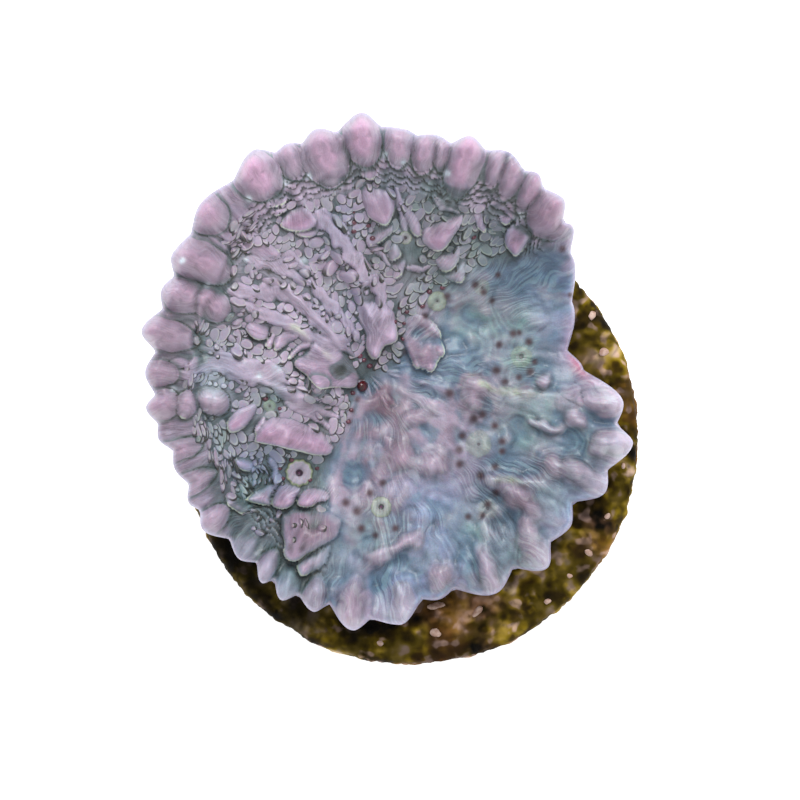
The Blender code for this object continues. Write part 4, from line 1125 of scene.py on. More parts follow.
scales = {
    "seed": 11,
    "tries": 40000,
    "crowding": 0.25,
    "streams": 8.0,
    "bare": -0.28,
    # the shelf of long scales: distance from the rim, half width, and where it ends
    "shelf": (3.4, 0.8),
    "shelfEast": -11,
    # the field of short ones begins this far from the rim
    "fieldEdge": 4.3,
    "flatten": 0.5,
    "waver": 0.00028,
    "grain": 1500.0,
}


def chooseScales():
    # darts thrown on the plate: the largest land first, smaller ones fill the gaps
    chance = np.random.default_rng(scales["seed"])
    count = scales["tries"]
    place = chance.uniform((-19, -14), (16, 23), (count, 2))
    offset = place - colony["axis"]
    bearing = np.degrees(np.arctan2(offset[:, 1], offset[:, 0]))
    fromEdge = rimReach(bearing) - np.hypot(*offset.T)
    form = topForm(place, np.maximum(fromEdge, 0.01), np.zeros(count))
    sharp = crispShare(place)
    spin, flow, away = flowFrame(place)
    depth, halfDepth = scales["shelf"]
    shelf = (np.abs(fromEdge - depth) < halfDepth) & (sharp > 0.4)
    streams = grain(np.column_stack([spin * scales["streams"], away * 0.3]), 1.0, 21.0)
    field = (fromEdge > scales["fieldEdge"]) & (sharp > 0.6) & (streams > scales["bare"])
    size = chance.beta(1.4, 2.6, count)
    across = np.where(shelf, 0.14 + 0.16 * size, 0.18 + 0.3 * size)
    stacked = shelf | (chance.uniform(0, 1, count) < 0.35)
    slim, stout = chance.uniform(2.2, 3.4, count), chance.uniform(1.1, 2.1, count)
    along = across * np.where(shelf, slim, stout)
    aim = flow + np.where(stacked, 90, 0) + 13 * chance.standard_normal(count)
    height = 0.06 + 0.1 * size
    tilt = np.where(shelf, chance.uniform(6, 12, count), chance.uniform(3, 9, count))
    allowed = (shelf & (place[:, 0] < scales["shelfEast"])) | field
    allowed &= (form["lift"] < 0.05) & (away > 0.8)
    allowed &= form["outside"] > np.where(shelf, 0.0, 0.22)
    for east, north, radius, _, _ in polyps:
        allowed &= distance(place, east, north) > radius * 1.5
    for east, north in frostSpots:
        allowed &= distance(place, east, north) > 0.6
    order = [i for i in np.argsort(-along * across) if allowed[i]]
    rows = [(*row[:5], 0.6 * row[5], 3.0, 0.1) for row in placedScales]
    taken = [(row[0], row[1], row[2] * 0.8, row[3] * 0.9) for row in placedScales]
    taken += [(east, north, radius, radius) for east, north, radius in tentacles]
    store = np.zeros((len(taken) + len(order), 4))
    store[: len(taken)] = taken
    filled = len(taken)
    for i in order:
        forward, sideways = turned(store[:filled, :2] - place[i], aim[i])
        forward = forward / (along[i] + store[:filled, 2])
        sideways = sideways / (across[i] + store[:filled, 3])
        if (forward**2 + sideways**2).min() < scales["crowding"]:
            continue
        store[filled] = (*place[i], along[i], across[i] * (0.7 if shelf[i] else 1))
        filled += 1
        rows.append((*place[i], along[i], across[i], aim[i], height[i], tilt[i], 0.35))
    return rows


dish = fitDish(dishPosts)
scaleRows = chooseScales()
coral, coralFaces = buildCoral()
print("coral plate:", len(coralFaces), "triangles")


# shader maths: one small class, so that a formula on sockets reads as a formula

class Wire:
    def __init__(self, tree, socket):
        self.tree = tree
        self.socket = socket

    def node(self, kind, settings=None, sockets=None, out=0):
        made = self.tree.nodes.new(kind)
        for name, value in (settings or {}).items():
            if name == "stops":
                fillRamp(made.color_ramp, value)
            else:
                setattr(made, name, value)
        for name, value in (sockets or {}).items():
            if isinstance(value, Wire):
                self.tree.links.new(value.socket, made.inputs[name])
            else:
                made.inputs[name].default_value = value
        return Wire(self.tree, made.outputs[out])

    def maths(self, operation, first, second=0.0):
        return self.node("ShaderNodeMath", {"operation": operation}, {0: first, 1: second})

    def __add__(self, other):
        return self.maths("ADD", self, other)

    def __sub__(self, other):
        return self.maths("SUBTRACT", self, other)

    def __rsub__(self, other):
        return self.maths("SUBTRACT", other, self)

    def __mul__(self, other):
        return self.maths("MULTIPLY", self, other)

    __radd__ = __add__
    __rmul__ = __mul__

    def between(self, low, high):
        # 0 below low, 1 above high, smooth between
        settings = {"interpolation_type": "SMOOTHSTEP"}
        return self.node("ShaderNodeMapRange", settings, {0: self, 1: low, 2: high})

    def vector(self, operation, other, out=0):
        return self.node("ShaderNodeVectorMath", {"operation": operation}, {0: self, 1: other}, out)

    def mix(self, first, second):
        # the colour first where this is 0, and second where it is 1
        sockets = {0: self, 6: first, 7: second}
        return self.node("ShaderNodeMix", {"data_type": "RGBA"}, sockets, 2)

    def shade(self, amount):
        # this colour made darker or lighter by a number
        grey = self.node("ShaderNodeCombineXYZ", None, {0: amount, 1: amount, 2: amount})
        return self.vector("MULTIPLY", grey)

    def noise(self, scale, detail=2.0, rough=0.5):
        sockets = {"Vector": self, "Scale": scale, "Detail": detail, "Roughness": rough}
        return self.node("ShaderNodeTexNoise", None, sockets)


def fillRamp(ramp, stops):
    while len(ramp.elements) > 1:
        ramp.elements.remove(ramp.elements[-1])
    for index, (place, tone) in enumerate(stops):
        stop = ramp.elements[0] if index == 0 else ramp.elements.new(place)
        stop.position = place
        stop.color = tone


def colour(red, green, blue):
    # a colour given as a screen shows it, as the shader wants it
    return (*[(value / 255) ** 2.2 for value in (red, green, blue)], 1)


def newSkin(name, roughness, **fixed):
    skin = bpy.data.materials.new(name)
    skin.use_nodes = True
    shader = skin.node_tree.nodes["Principled BSDF"]
    shader.inputs["Roughness"].default_value = roughness
    for socket, value in fixed.items():
        shader.inputs[socket.replace("_", " ")].default_value = value
    place = skin.node_tree.nodes.new("ShaderNodeTexCoord").outputs["Object"]
    return skin, shader, Wire(skin.node_tree, place)


def attribute(place, name, out="Fac"):
    return place.node("ShaderNodeAttribute", {"attribute_name": name}, None, out)


def connect(wire, shader, socket):
    wire.tree.links.new(wire.socket, shader.inputs[socket])


def bump(height, distance, strength=1.0):
    sockets = {"Height": height, "Distance": distance, "Strength": strength}
    return height.node("ShaderNodeBump", None, sockets)


tissue = {
    "mauve": colour(176, 158, 180),
    "band": colour(156, 138, 160),
    "margin": colour(150, 137, 155),
    "pink": colour(159, 133, 155),
    "pinkCore": colour(178, 142, 170),
    "plate": colour(160, 128, 156),
    "blue": colour(130, 151, 192),
    # painted shade for low places where the scales are crisp, round the feet of knobs and on the bed
    # between raised shapes
    "green": colour(112, 149, 151),
    "valley": colour(84, 104, 106),
    "teal": colour(90, 123, 149),
    "lime": colour(178, 196, 150),
    "frost": colour(202, 212, 224),
    "wine": colour(170, 104, 128),
    # a painted highlight along the plate's very edge
    "rim": colour(190, 184, 216),
    "under": colour(134, 120, 112),
    # painted shade in crevices, round raised outlines and beyond free edges
    "crevice": colour(48, 54, 44),
    # the pale margin of ledges and scales, partly their own colour and partly a painted highlight
    "paleEdge": colour(198, 210, 190),
    "polyp": colour(164, 156, 174),
    "soft": colour(150, 178, 166),
    "mint": colour(150, 188, 162),
    "dusk": colour(122, 100, 116),
    "pale": colour(164, 174, 192),
    "pad": colour(156, 150, 164),
    "mouth": colour(58, 28, 54),
    "magenta": colour(170, 70, 150),
    "dot": colour(72, 48, 56),
}


# the wet look of living tissue, for the plate and for its scales
moist = {
    "Coat_Weight": 0.25,
    "Coat_Roughness": 0.22,
    "Subsurface_Weight": 0.12,
    "Subsurface_Scale": 0.0006,
}


def layered(skin, layers):
    # lays each colour over the skin in turn, as strongly as its weight says
    for weight, name in layers:
        skin = weight.mix(skin, tissue[name])
    return skin


def tissueColour(place):
    # the mauve skin with its pink knobs, blue and green patches and pale spots, one a painted glint,
    # with painted shade in low places and creases, and a painted highlight along the rim
    patchy = place.noise(900.0, 3.0, 0.6)
    drift = place.noise(220.0, 3.0)
    mottle = place.noise(520.0, 2.0)
    names = ("relief", "pink", "crisp", "knob", "plate")
    relief, pink, crisp, knob, plate = (attribute(place, name) for name in names)
    blue = attribute(place, "blue") * (1 - 0.8 * pink) * (0.3 + 1.1 * drift)
    green = attribute(place, "green") * (1 - 0.8 * pink) * (0.3 + 1.1 * patchy)
    wide = 1 - 0.75 * crisp
    soft = 0.3 + 0.7 * crisp
    skin = layered(tissue["mauve"], [
        (blue.between(-0.1, 1.0), "blue"),
        (green.between(-0.1, 1.0), "green"),
        (attribute(place, "band") * crisp * 0.8, "band"),
        (mottle.between(0.46, 0.34) * 0.6 * wide, "teal"),
        (relief.between(0.02, 0.16) * 0.6 * wide, "pad"),
        (mottle.between(0.52, 0.64) * 0.35 * wide, "pale"),
        (drift.between(0.5, 0.62) * patchy.between(0.4, 0.6) * 0.5 * wide, "dusk"),
        (plate.between(0.0, 0.8), "plate"),
        ((plate + 0.5 * patchy).between(0.75, 1.15) * 0.4, "dusk"),
        # painted shade just outside the edge of each knob and swell
        (soft * knob.between(-0.4, -0.02) * knob.between(0.08, -0.02) * 0.8, "valley"),
        (pink.between(0.0, 0.4) * 0.6, "margin"),
        ((pink + 0.3 * patchy - 0.15).between(0.15, 0.9), "pink"),
        ((pink + 0.4 * patchy).between(0.6, 1.4) * 0.9, "pinkCore"),
        (soft * knob.between(0.0, 0.2) * knob.between(0.7, 0.25) * 0.6, "margin"),
        # brownish patches, partly the skin's own colour and partly painted shade below knobs and ledges
        (attribute(place, "dusk") * (0.5 + 0.8 * patchy), "dusk"),
        # painted shade on the low bed between the raised shapes
        (attribute(place, "bed") * crisp * (0.25 + 0.5 * patchy), "valley"),
    ])
    # painted shade: low places darker, teal on the soft side and valley shade where the scales are
    # crisp
    low = (0 - relief).between(0.0, 0.35) * 0.75
    skin = low.mix(skin, crisp.mix(tissue["teal"], tissue["valley"]))
    lime = attribute(place, "lime") * (0.1 + 1.5 * patchy * mottle.between(0.3, 0.6))
    skin = layered(skin, [
        # painted shade: the deepest places near black
        ((0 - relief).between(0.6, 1.3) * 0.75, "crevice"),
        (lime.between(0.1, 1.0) * 0.75, "lime"),
        (attribute(place, "wine"), "wine"),
        # painted highlight along the plate's edge
        (attribute(place, "rimGlow") * 0.75, "rim"),
        # pale spots, one of them a painted glint
        ((attribute(place, "frost") * (0.4 + 1.1 * patchy)).between(0.1, 1.0), "frost"),
    ])
    return skin, patchy


def flowLines(place, around, along):
    # fine noise drawn out along wavering lines that run in to the middle of the plate
    centre = (colony["flowCentre"][0] * mm, colony["flowCentre"][1] * mm, 0)
    sockets = {"Vector": place, "Scale": 330.0, "Detail": 1.0}
    sway = place.node("ShaderNodeTexNoise", None, sockets, "Color")
    sway = sway.vector("SUBTRACT", (0.5, 0.5, 0.5)).vector("MULTIPLY", (0.0026, 0.0026, 0))
    offset = place.vector("ADD", sway).vector("SUBTRACT", centre).vector("MULTIPLY", (1, 1, 0))
    away = offset.vector("LENGTH", (0, 0, 0), "Value")
    spin = offset.vector("NORMALIZE", (0, 0, 0)).vector("MULTIPLY", (around, around, 0))
    lift = place.node("ShaderNodeCombineXYZ", None, {"Z": away * along})
    return spin.vector("ADD", lift).noise(1.0, 2.0, 0.55), away


def coralSkin():
    skin, shader, place = newSkin("coral_skin", 0.42, **moist)
    shade, patchy = tissueColour(place)
    names = ("crisp", "relief", "pink", "sharp")
    crisp, relief, pink, sharp = (attribute(place, name) for name in names)
    inside = 0 - attribute(place, "inside")
    grains = place.noise(9000.0, 1.0)
    inner, away = flowLines(place, 28.0, 600.0)
    outer, _ = flowLines(place, 66.0, 500.0)
    far = away.between(7 * mm, 11 * mm)
    lines = far * outer + (1 - far) * inner
    strands = lines.between(0.4, 0.6)
    crack = lines.between(0.45, 0.5) * lines.between(0.55, 0.5)
    crack = crack * place.noise(600.0, 1.0).between(0.4, 0.6)
    # the soft side has wavy lines in places, which follow noise and height
    level = place.node("ShaderNodeSeparateXYZ", None, {0: place}, 2)
    heave = place.noise(190.0, 2.0) * 70.0 + place.noise(1300.0, 1.0) * 5.0 + level * 11000.0
    contour = heave.maths("SINE", heave) * 0.5 + 0.5
    where = place.noise(310.0, 0.0).between(0.38, 0.52) * (1 - crisp)
    where = where * (1 - 0.8 * relief.between(0.0, 0.2))
    strands = where * (0.2 + 0.6 * contour) + (1 - where) * strands
    calm = (1 - 0.6 * pink.between(0.0, 0.8)) * (1 - 0.7 * inside.between(0.0, 0.15))
    calm = calm * (0.35 + 1.1 * place.noise(420.0, 1.0))
    # painted shade: thin dark lines round ledges and ridges and along fine grooves, and a pale edge
    # just inside them, partly the ledges' own margin and partly a painted highlight
    rim = inside.between(0.28, 0.1) * inside.between(-0.02, 0.05) * 0.9
    line = attribute(place, "outside").between(0.24, 0.04) * (0.45 + 0.75 * patchy)
    line = line * (0.1 + 0.9 * crisp)
    line = line.maths("MAXIMUM", line, crack * calm * (0.5 + 0.45 * crisp))
    # polyps: a pale lobed disc, a yellow-green edge with a dark ring of painted shade outside it, a
    # dark mouth with a magenta spot
    polyp = attribute(place, "polyp") + (0.9 - 0.8 * sharp) * (patchy - 0.5)
    fade = 0.5 * (1 - sharp)
    body = polyp.between(1.05 + fade, 0.85 - fade) * (0.08 + 0.87 * sharp)
    flesh = sharp.between(0.3, 0.8).mix(tissue["soft"], tissue["polyp"])
    shade = layered(shade, [
        (strands.between(0.5, 0.95) * calm * (0.42 - 0.28 * crisp), "mint"),
        (rim, "paleEdge"),
        (line, "crevice"),
        (polyp.between(1.25, 1.05) * sharp * 0.8, "crevice"),
        (polyp.between(1.15, 1.0) * sharp * 0.75, "lime"),
    ])
    shade = layered(body.mix(shade, flesh), [
        (polyp.between(0.55, 0.4) * polyp.between(0.25, 0.35) * 0.35, "margin"),
        (polyp.between(0.28, 0.18) * (0.45 + 0.5 * sharp), "mouth"),
        (polyp.between(0.08, 0.02) * sharp, "magenta"),
        (attribute(place, "dots") * 0.95, "dot"),
        (attribute(place, "under"), "under"),
    ])
    lively = (1.05 - 0.5 * crisp) * calm
    # painted light and shade: lighter on crests and raised places, darker in creases, with the painted
    # light patches added
    crease = attribute(place, "crease").between(-0.1, 0.1) - 0.5
    tone = 0.9 + lively * (strands - 0.5) + 0.32 * (grains - 0.5) + 0.38 * (patchy - 0.45)
    tone = tone + attribute(place, "light") + 0.2 * relief.between(0.0, 0.5) + 0.6 * crease
    connect(shade.shade(tone), shader, "Base Color")
    height = strands * calm * 0.6 + 0.2 * grains + 0.35 * patchy
    connect(bump(height, 0.00014, 0.9), shader, "Normal")
    connect(0.38 + 0.2 * patchy, shader, "Roughness")
    return skin


def scaleSkin():
    # the same skin on a scale: a painted shadow line and a pale rim along its free edge, the rim partly
    # its own margin and partly a painted highlight
    skin, shader, place = newSkin("scale_skin", 0.42, **moist)
    shade, patchy = tissueColour(place)
    flat = attribute(place, "local", "Vector").vector("MULTIPLY", (1, 1, 0))
    free = attribute(place, "free", "Vector")
    own = attribute(place, "own")
    grains = place.noise(9000.0, 1.0)
    margin = (1 - flat.vector("LENGTH", (0, 0, 0), "Value")) * attribute(place, "girth")
    ahead = flat.vector("DOT_PRODUCT", free, "Value").between(-0.7, 0.4)
    shade = layered(shade, [
        (own.between(0.7, 1.0) * 0.3, "dusk"),
        (own.between(0.3, 0.0) * 0.18, "mint"),
        (margin.between(0.2, 0.15) * margin.between(0.1, 0.13) * (0.05 + 0.32 * ahead), "paleEdge"),
        ((margin - 0.04 * ahead).between(0.07, 0.03) * (0.12 + 0.8 * ahead), "crevice"),
    ])
    # the tone takes the painted light and shade patches
    tone = 0.88 + attribute(place, "light") + 0.2 * own + 0.24 * (grains - 0.5) + 0.5 * (patchy - 0.45)
    connect(shade.shade(tone), shader, "Base Color")
    connect(bump(0.3 * grains + 0.5 * patchy, 0.00006, 0.7), shader, "Normal")
    return skin


def plainSkin(name, dark, light, scale, roughness, coat):
    # a small piece's skin: two tones in soft patches, with a fine grain
    skin, shader, place = newSkin(name, roughness, Coat_Weight=coat, Coat_Roughness=0.1)
    patchy = place.noise(scale, 3.0, 0.6)
    connect(patchy.between(0.3, 0.7).mix(dark, light), shader, "Base Color")
    connect(bump(patchy, 0.00003), shader, "Normal")
    return skin


# Geometry Nodes: one short way to add a node, and one to turn a tree into a mesh

class Maker:
    def __init__(self, name, **inputs):
        self.tree = bpy.data.node_groups.new(name, "GeometryNodeTree")
        face = self.tree.interface
        face.new_socket("Geometry", in_out="INPUT", socket_type="NodeSocketGeometry")
        self.names = {}
        for label, kind in inputs.items():
            made = face.new_socket(label, in_out="INPUT", socket_type="NodeSocket" + kind)
            self.names[label] = made.identifier
        face.new_socket("Geometry", in_out="OUTPUT", socket_type="NodeSocketGeometry")
        self.given = self.tree.nodes.new("NodeGroupInput").outputs
        self.result = self.tree.nodes.new("NodeGroupOutput").inputs

    def node(self, kind, settings=None, sockets=None, out=0):
        made = self.tree.nodes.new(kind)
        for name, value in (settings or {}).items():
            setattr(made, name, value)
        for name, value in (sockets or {}).items():
            if isinstance(value, bpy.types.NodeSocket):
                self.tree.links.new(value, made.inputs[name])
            else:
                made.inputs[name].default_value = value
        return made.outputs[out]

    def named(self, name, kind):
        return self.node("GeometryNodeInputNamedAttribute", {"data_type": kind}, {"Name": name})

    def maths(self, operation, first, second):
        return self.node("ShaderNodeMath", {"operation": operation}, {0: first, 1: second})

    def vector(self, operation, first, second, socket=1):
        sockets = {0: first, socket: second}
        return self.node("ShaderNodeVectorMath", {"operation": operation}, sockets)

    def finish(self, shape, skin):
        shape = self.node("GeometryNodeRealizeInstances", None, {0: shape})
        shape = self.node("GeometryNodeSetShadeSmooth", None, {0: shape})
        shape = self.node("GeometryNodeSetMaterial", None, {0: shape, "Material": skin})
        self.tree.links.new(shape, self.result[0])

    def apply(self, host, name, **values):
        modifier = host.modifiers.new("maker", "NODES")
        modifier.node_group = self.tree
        for label, value in values.items():
            modifier[self.names[label]] = value
        seen = host.evaluated_get(bpy.context.evaluated_depsgraph_get())
        mesh = bpy.data.meshes.new_from_object(seen)
        host.modifiers.remove(modifier)
        mesh.name = name
        made = bpy.data.objects.new(name, mesh)
        bpy.context.scene.collection.objects.link(made)
        return made


def pointHost(points):
    mesh = bpy.data.meshes.new("points")
    mesh.from_pydata((np.asarray(points) * mm).tolist(), [], [])
    made = bpy.data.objects.new("points", mesh)
    bpy.context.scene.collection.objects.link(made)
    return made


# What is put on the points: the node that makes it, its inputs, and how far the waver
# moves it along each axis. A scale wavers only sideways.
beadForms = {
    "bead": ("GeometryNodeMeshIcoSphere", {"Radius": 1.0, "Subdivisions": 2}, (1, 1, 1)),
    "scale": ("GeometryNodeMeshUVSphere", {"Segments": 12, "Rings": 8, "Radius": 1.0}, (1, 1, 0)),
}


def beadMaker(kind):
    # puts one bead or scale on every point, turned and sized by the point's own values
    form, sizes, waver = beadForms[kind]
    maker = Maker(
        kind + "_maker", Skin="Material", Waver="Float", Grain="Float", Flatten="Float"
    )
    bead = maker.node(form, None, sizes)
    spot = maker.node("GeometryNodeInputPosition")
    flat = maker.vector("MULTIPLY", spot, (1, 1, 0))
    wide = maker.node("ShaderNodeVectorMath", {"operation": "LENGTH"}, {0: flat}, "Value")
    power = maker.maths("MULTIPLY", maker.given["Flatten"], -1.0)
    spread = maker.maths("POWER", maker.maths("MAXIMUM", wide, 0.05), power)
    full = maker.node("ShaderNodeCombineXYZ", None, {0: spread, 1: spread, 2: 1.0})
    moved = maker.vector("MULTIPLY", spot, full)
    bead = maker.node("GeometryNodeSetPosition", None, {0: bead, "Position": moved})
    if kind == "scale":
        # its skin reads each point's place on the scale
        sockets = {"Geometry": bead, "Name": "local", "Value": spot}
        settings = {"data_type": "FLOAT_VECTOR"}
        bead = maker.node("GeometryNodeStoreNamedAttribute", settings, sockets)
    turn = maker.named("turn", "FLOAT_VECTOR")
    sockets = {
        "Points": maker.given[0],
        "Instance": bead,
        "Rotation": maker.node("FunctionNodeEulerToRotation", None, {0: turn}),
        "Scale": maker.named("extent", "FLOAT_VECTOR"),
    }
    placed = maker.node("GeometryNodeInstanceOnPoints", None, sockets)
    placed = maker.node("GeometryNodeRealizeInstances", None, {0: placed})
    where = maker.node("GeometryNodeInputPosition")
    sockets = {"Vector": where, "Scale": maker.given["Grain"]}
    cloud = maker.node("ShaderNodeTexNoise", None, sockets, "Color")
    offset = maker.vector("SUBTRACT", cloud, (0.5, 0.5, 0.5))
    offset = maker.vector("MULTIPLY", offset, waver)
    offset = maker.vector("SCALE", offset, maker.given["Waver"], "Scale")
    placed = maker.node("GeometryNodeSetPosition", None, {0: placed, "Offset": offset})
    maker.finish(placed, maker.given["Skin"])
    return maker


def ground(piece, faces):
    points = np.zeros(len(piece.data.vertices) * 3)
    piece.data.vertices.foreach_get("co", points)
    points = points.reshape(-1, 3) / mm
    return BVHTree.FromPolygons(points.tolist(), faces.tolist())


skinNames = (
    "pink", "lime", "relief", "blue", "green", "frost", "wine", "rimGlow", "under", "band", "crisp",
    "knob", "plate", "dusk", "light",
)


def readFloats(piece, name):
    values = np.zeros(len(piece.data.vertices))
    piece.data.attributes[name].data.foreach_get("value", values)
    return values


def beadPoints(rows, surface):
    # a point for each bead where it meets the surface, with its turn and extent; the
    # tilt lifts the side of the bead that faces the middle of the plate and the south
    spots, turns, extents, frees, kept = [], [], [], [], []
    for east, north, along, across, bearing, height, tilt, sink in rows:
        spot, normal, face, _ = surface.ray_cast(Vector((east, north, 60)), Vector((0, 0, -1)))
        if spot is None:
            continue
        upward = normal if normal.z > 0 else -normal
        aim = Vector((math.cos(math.radians(bearing)), math.sin(math.radians(bearing)), 0))
        ahead = (aim - upward * aim.dot(upward)).normalized()
        sideways = upward.cross(ahead)
        inward = Vector((colony["flowCentre"][0] - east, colony["flowCentre"][1] - north, 0))
        free = inward.normalized() + Vector((0, -0.9, 0))
        free = Vector((free.dot(ahead), free.dot(sideways), 0)).normalized()
        turn = Matrix((ahead, sideways, upward)).transposed()
        turn = turn @ Matrix.Rotation(math.radians(tilt), 3, Vector((free.y, -free.x, 0)))
        turns.append(tuple(turn.to_euler()))
        extents.append((along * mm, across * mm, height * mm))
        spots.append(tuple(spot - upward * sink * height))
        frees.append(tuple(free))
        kept.append(face)
    host = pointHost(spots)
    storeVectors(host, "turn", turns)
    storeVectors(host, "extent", extents)
    storeVectors(host, "free", frees)
    storeFloats(host, "girth", np.array(extents)[:, 1] / mm)
    return host, kept


surface = ground(coral, coralFaces)
coral.data.materials.append(coralSkin())

# the scales carry the colours of the skin that they stand on, painted shade and light included
host, kept = beadPoints(scaleRows, surface)
for name in skinNames:
    values = readFloats(coral, name)[coralFaces[np.array(kept)]].mean(1)
    # the relief that paints shade on a scale is held near zero in the west and may go deeper towards
    # the east
    if name == "relief":
        east = np.array([point.co.x for point in host.data.vertices]) / mm
        values = np.maximum(values, -0.04 - 0.2 * ease(east, -5.0, 2.0))
    storeFloats(host, name, values)
storeFloats(host, "own", np.random.default_rng(scales["seed"]).uniform(0, 1, len(kept)))
skinScales = beadMaker("scale").apply(
    host, "tissue_scales", Skin=scaleSkin(), Waver=scales["waver"], Grain=scales["grain"],
    Flatten=scales["flatten"],
)
bpy.data.objects.remove(host)
print("scales:", len(scaleRows), "with", len(skinScales.data.polygons), "faces")

# tentacle tips: small dark beads, half sunk in the skin
tip = {"along": 0.9, "across": 0.75, "height": 0.7, "sink": 0.05}
tentacleSkin = plainSkin(
    "tentacle_skin", colour(66, 34, 46), colour(112, 62, 78), 3000.0, 0.3, 0.6
)
crispTips = crispShare(np.array([row[:2] for row in tentacles])) > 0.3
tipRows = [
    (
        east, north, radius * tip["along"], radius * tip["across"], 0,
        radius * tip["height"], 0, tip["sink"],
    )
    for (east, north, radius), shown in zip(tentacles, crispTips) if shown
]
roundBeads = beadMaker("bead")
host, _ = beadPoints(tipRows, surface)
beads = roundBeads.apply(
    host, "tentacle_tips", Skin=tentacleSkin, Waver=0.00004, Grain=3000.0, Flatten=0.0
)
bpy.data.objects.remove(host)


# one ruby bead at the inner end of the middle crest
ruby = {"place": (-3.5, 3.6), "size": (0.42, 0.56), "bearing": 90, "height": 0.36, "sink": -0.3}
rubyRow = (*ruby["place"], *ruby["size"], ruby["bearing"], ruby["height"], 0, ruby["sink"])
host, _ = beadPoints([rubyRow], surface)
rubySkin = plainSkin("ruby_skin", colour(38, 6, 14), colour(92, 18, 30), 4000.0, 0.2, 0.6)
rubyBead = roundBeads.apply(
    host, "ruby_bead", Skin=rubySkin, Waver=0.0001, Grain=2500.0, Flatten=0.0
)
bpy.data.objects.remove(host)
print("tentacle tips and bead made")


# the disc under the coral: cement, with a rough crust of algae

disc = {
    "radius": 16.0,
    "top": 5.0,
    "chamfer": 0.7,
    "spacing": 0.19,
    "underSpacing": 0.8,
    "crust": 0.5,
    "lumpSize": 2.2,
    "crumbSize": 0.7,
    "fineSize": 0.27,
    # the first list is painted shadow, mostly where the coral's rim hangs over the disc
    "gloom": [
        (-12.2, -8.4, 3.2, 1.0), (-8.4, -12.0, 2.6, 1.0), (9.6, -7.2, 1.6, 1.0),
        (-4.0, -13.6, 1.2, 1.0), (13.9, 3.3, 1.4, 0.5), (-11.3, -10.2, 1.8, 1.0),
    ],
    "tan": [
        (4.8, -12.1, 1.8, 0.7), (1.9, -12.2, 1.4, 0.5), (12.4, 5.4, 1.2, 0.5),
        (13.0, -7.0, 1.2, 0.4),
    ],
}


def buildDisc():
    # rings as distance out, height and share of crust, from the top round to the underside
    radius, top, chamfer = disc["radius"], disc["top"], disc["chamfer"]
    spacing, under = disc["spacing"], disc["underSpacing"]
    inner = radius - chamfer
    rows = [(out, top, 1.0) for out in np.arange(0, inner, spacing)]
    turns = np.linspace(0, math.pi / 2, 6)
    rows += [
        (inner + chamfer * math.sin(t), top - chamfer + chamfer * math.cos(t), 1.0)
        for t in turns
    ]
    rows += [(radius, up, 1.0) for up in np.arange(top - chamfer - spacing, chamfer, -spacing)]
    rows += [
        (inner + chamfer * math.cos(t), chamfer - chamfer * math.sin(t), 1 - t / turns[-1])
        for t in turns
    ]
    rows += [(out, 0.0, 0.0) for out in np.arange(inner - 0.5, 0, -under)]
    rows.append((0.0, 0.0, 0.0))
    rings, coats = [], []
    for out, up, coat in rows:
        step = spacing if coat > 0 or up > 0.1 else under
        count = max(8, round(2 * math.pi * out / step)) if out > 0 else 1
        angle = np.arange(count) * 2 * math.pi / count
        rings.append(np.column_stack([out * np.cos(angle), out * np.sin(angle), np.full(count, up)]))
        coats.append(np.full(count, coat))
    points, faces = zipRings(rings)
    coat = np.concatenate(coats)
    away = np.hypot(points[:, 0], points[:, 1])
    sideways = ease(points[:, 2], top - 0.05, top - chamfer)
    lump = grain(points, disc["lumpSize"], 2.0)
    crumb = np.abs(grain(points, disc["crumbSize"], 9.0))
    fine = grain(points, disc["fineSize"], 4.0)
    rough = disc["crust"] * (0.7 * lump + 0.75 * crumb - 0.2) + 0.07 * fine
    rough *= coat * np.clip(0.15 + ease(away, 5, 9), 0, 1)
    push = np.zeros_like(points)
    outward = points[:, :2] / np.maximum(away, 1e-6)[:, None]
    push[:, :2] = outward * (0.6 * rough * sideways)[:, None]
    push[:, 2] = rough * (1 - sideways) * (points[:, 2] > 0.5)
    piece = meshFromArrays("disc_crust", points + push, faces)
    storeFloats(piece, "lump", rough)
    for name in ("gloom", "tan"):
        storeFloats(piece, name, patchMask(points[:, :2], disc[name]))
    storeFloats(piece, "bare", 1 - coat)
    return piece, faces


def discSkin():
    skin, shader, place = newSkin("disc_skin", 0.85, Specular_IOR_Level=0.12)
    patchy = place.noise(430.0, 2.0, 0.5)
    drift = place.noise(210.0, 1.0)
    spots = place.noise(1000.0, 1.0, 0.5)
    blend = patchy * 0.7 + 0.3 * spots
    stops = [
        (0.36, colour(22, 18, 8)), (0.45, colour(74, 58, 12)), (0.52, colour(126, 106, 24)),
        (0.58, colour(166, 140, 62)), (0.66, colour(212, 186, 148)),
    ]
    shade = blend.node("ShaderNodeValToRGB", {"stops": stops}, {0: blend})
    shade = (drift.between(0.52, 0.66) * 0.7).mix(shade, colour(118, 78, 36))
    shade = (spots.between(0.56, 0.68) * 0.6).mix(shade, colour(206, 172, 160))
    shade = (attribute(place, "tan") * spots.between(0.35, 0.6)).mix(shade, colour(170, 126, 96))
    # painted shade: the crust darker in its low places and near black in the painted shadow under the
    # coral's rim
    dark = attribute(place, "lump").between(-0.1, 0.25)
    shade = shade.shade((0.3 + 0.8 * dark) * (1 - 0.93 * attribute(place, "gloom")))
    shade = attribute(place, "bare").between(0.5, 1.0).mix(shade, colour(178, 172, 160))
    connect(shade, shader, "Base Color")
    connect(bump(patchy + 0.6 * spots, 0.00025), shader, "Normal")
    return skin


discPiece, discFaces = buildDisc()
discPiece.data.materials.append(discSkin())
print("disc:", len(discFaces), "triangles")

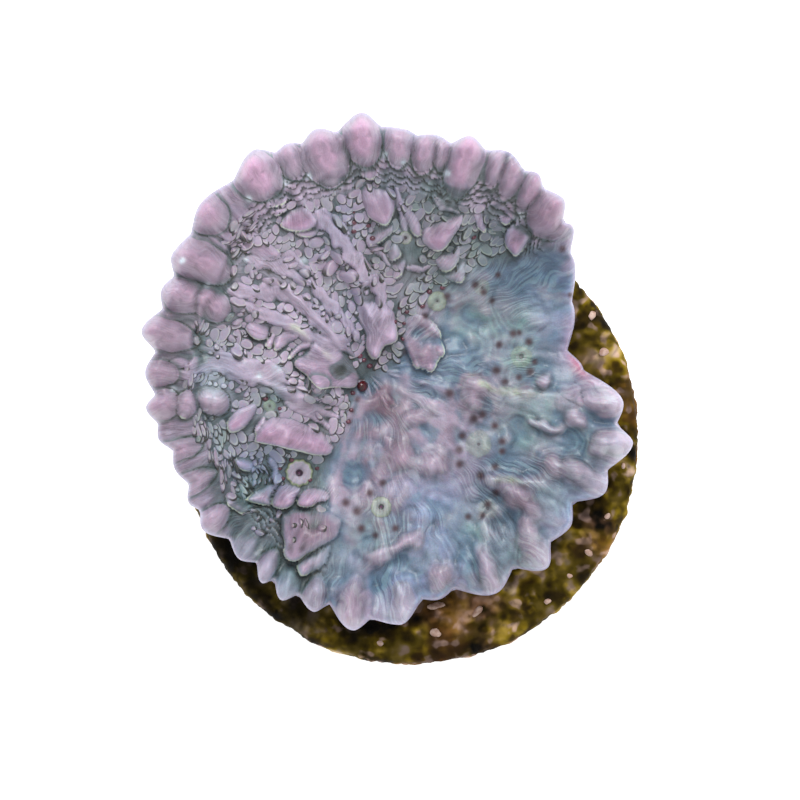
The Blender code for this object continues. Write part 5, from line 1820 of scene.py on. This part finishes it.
# pale pink coralline specks on the crust: east, north, half length, half width, bearing
specks = [
    (1.8, -11.9, 0.75, 0.35, 10), (1.7, -13.8, 0.32, 0.5, 70), (4.7, -12.3, 0.5, 0.25, 40),
    (13.6, 6.0, 0.35, 0.3, 0), (12.8, 8.6, 0.4, 0.25, 60), (14.9, 7.2, 0.2, 0.16, 30),
    (15.0, -2.0, 0.22, 0.15, 80), (12.6, -8.2, 0.4, 0.25, -40), (9.6, -11.6, 0.3, 0.2, 20),
    (-2.2, -14.6, 0.25, 0.2, 0), (11.2, -9.8, 0.22, 0.18, 0), (13.9, -5.6, 0.25, 0.2, 50),
]
speck = {"height": 0.12, "sink": 0.1}
speckRows = [(*row, speck["height"], 0, speck["sink"]) for row in specks]
host, _ = beadPoints(speckRows, ground(discPiece, discFaces))
speckSkin = plainSkin("speck_skin", colour(164, 128, 112), colour(208, 182, 168), 2400.0, 0.8, 0.0)
speckPiece = roundBeads.apply(
    host, "coralline_specks", Skin=speckSkin, Waver=0.0003, Grain=1800.0, Flatten=0.2
)
bpy.data.objects.remove(host)


# what the frame needs to know of every piece

for piece in (coral, skinScales, beads, rubyBead):
    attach(piece, "root")
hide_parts("chalice_coral")
for piece in (discPiece, speckPiece):
    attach(piece, "root")
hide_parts("frag_disc")


# a pale floor, soft light and a camera that looks straight down

stage = {
    "floor": 6.0,
    "skyLight": 0.70,
    "sunLight": 2.1,
    "sunAngle": 30,
    "sunTilt": (-38, 8),
    "floorGlow": 0.75,
    "cameraHeight": 0.9,
    "frameWidth": 0.0565,
    "frameMiddle": (-0.00078, 0.00261),
}


def buildStage():
    bpy.ops.mesh.primitive_plane_add(size=stage["floor"])
    floor = bpy.context.object
    floor.name = "floor"
    skin, shader, place = newSkin("floor_skin", 0.9)
    connect(place.noise(40.0).mix(colour(246, 246, 248), colour(250, 250, 252)), shader, "Base Color")
    shader.inputs["Emission Color"].default_value = (1.0, 1.0, 1.0, 1)
    shader.inputs["Emission Strength"].default_value = stage["floorGlow"]
    floor.data.materials.append(skin)
    world = bpy.data.worlds.new("sky")
    bpy.context.scene.world = world
    world.use_nodes = True
    world.node_tree.nodes["Background"].inputs[0].default_value = (1.0, 1.0, 1.0, 1)
    world.node_tree.nodes["Background"].inputs[1].default_value = stage["skyLight"]
    sun = bpy.data.objects.new("sun", bpy.data.lights.new("sun", "SUN"))
    sun.data.energy = stage["sunLight"]
    sun.data.angle = math.radians(stage["sunAngle"])
    sun.rotation_euler = (*map(math.radians, stage["sunTilt"]), 0)
    bpy.context.scene.collection.objects.link(sun)
    camera = bpy.data.objects.new("camera", bpy.data.cameras.new("camera"))
    camera.location = (*stage["frameMiddle"], disc["top"] * mm + stage["cameraHeight"])
    camera.data.lens = camera.data.sensor_width * stage["cameraHeight"] / stage["frameWidth"]
    bpy.context.scene.collection.objects.link(camera)
    bpy.context.scene.camera = camera
    bpy.context.scene.view_settings.view_transform = "Standard"


buildStage()
print("stage ready")
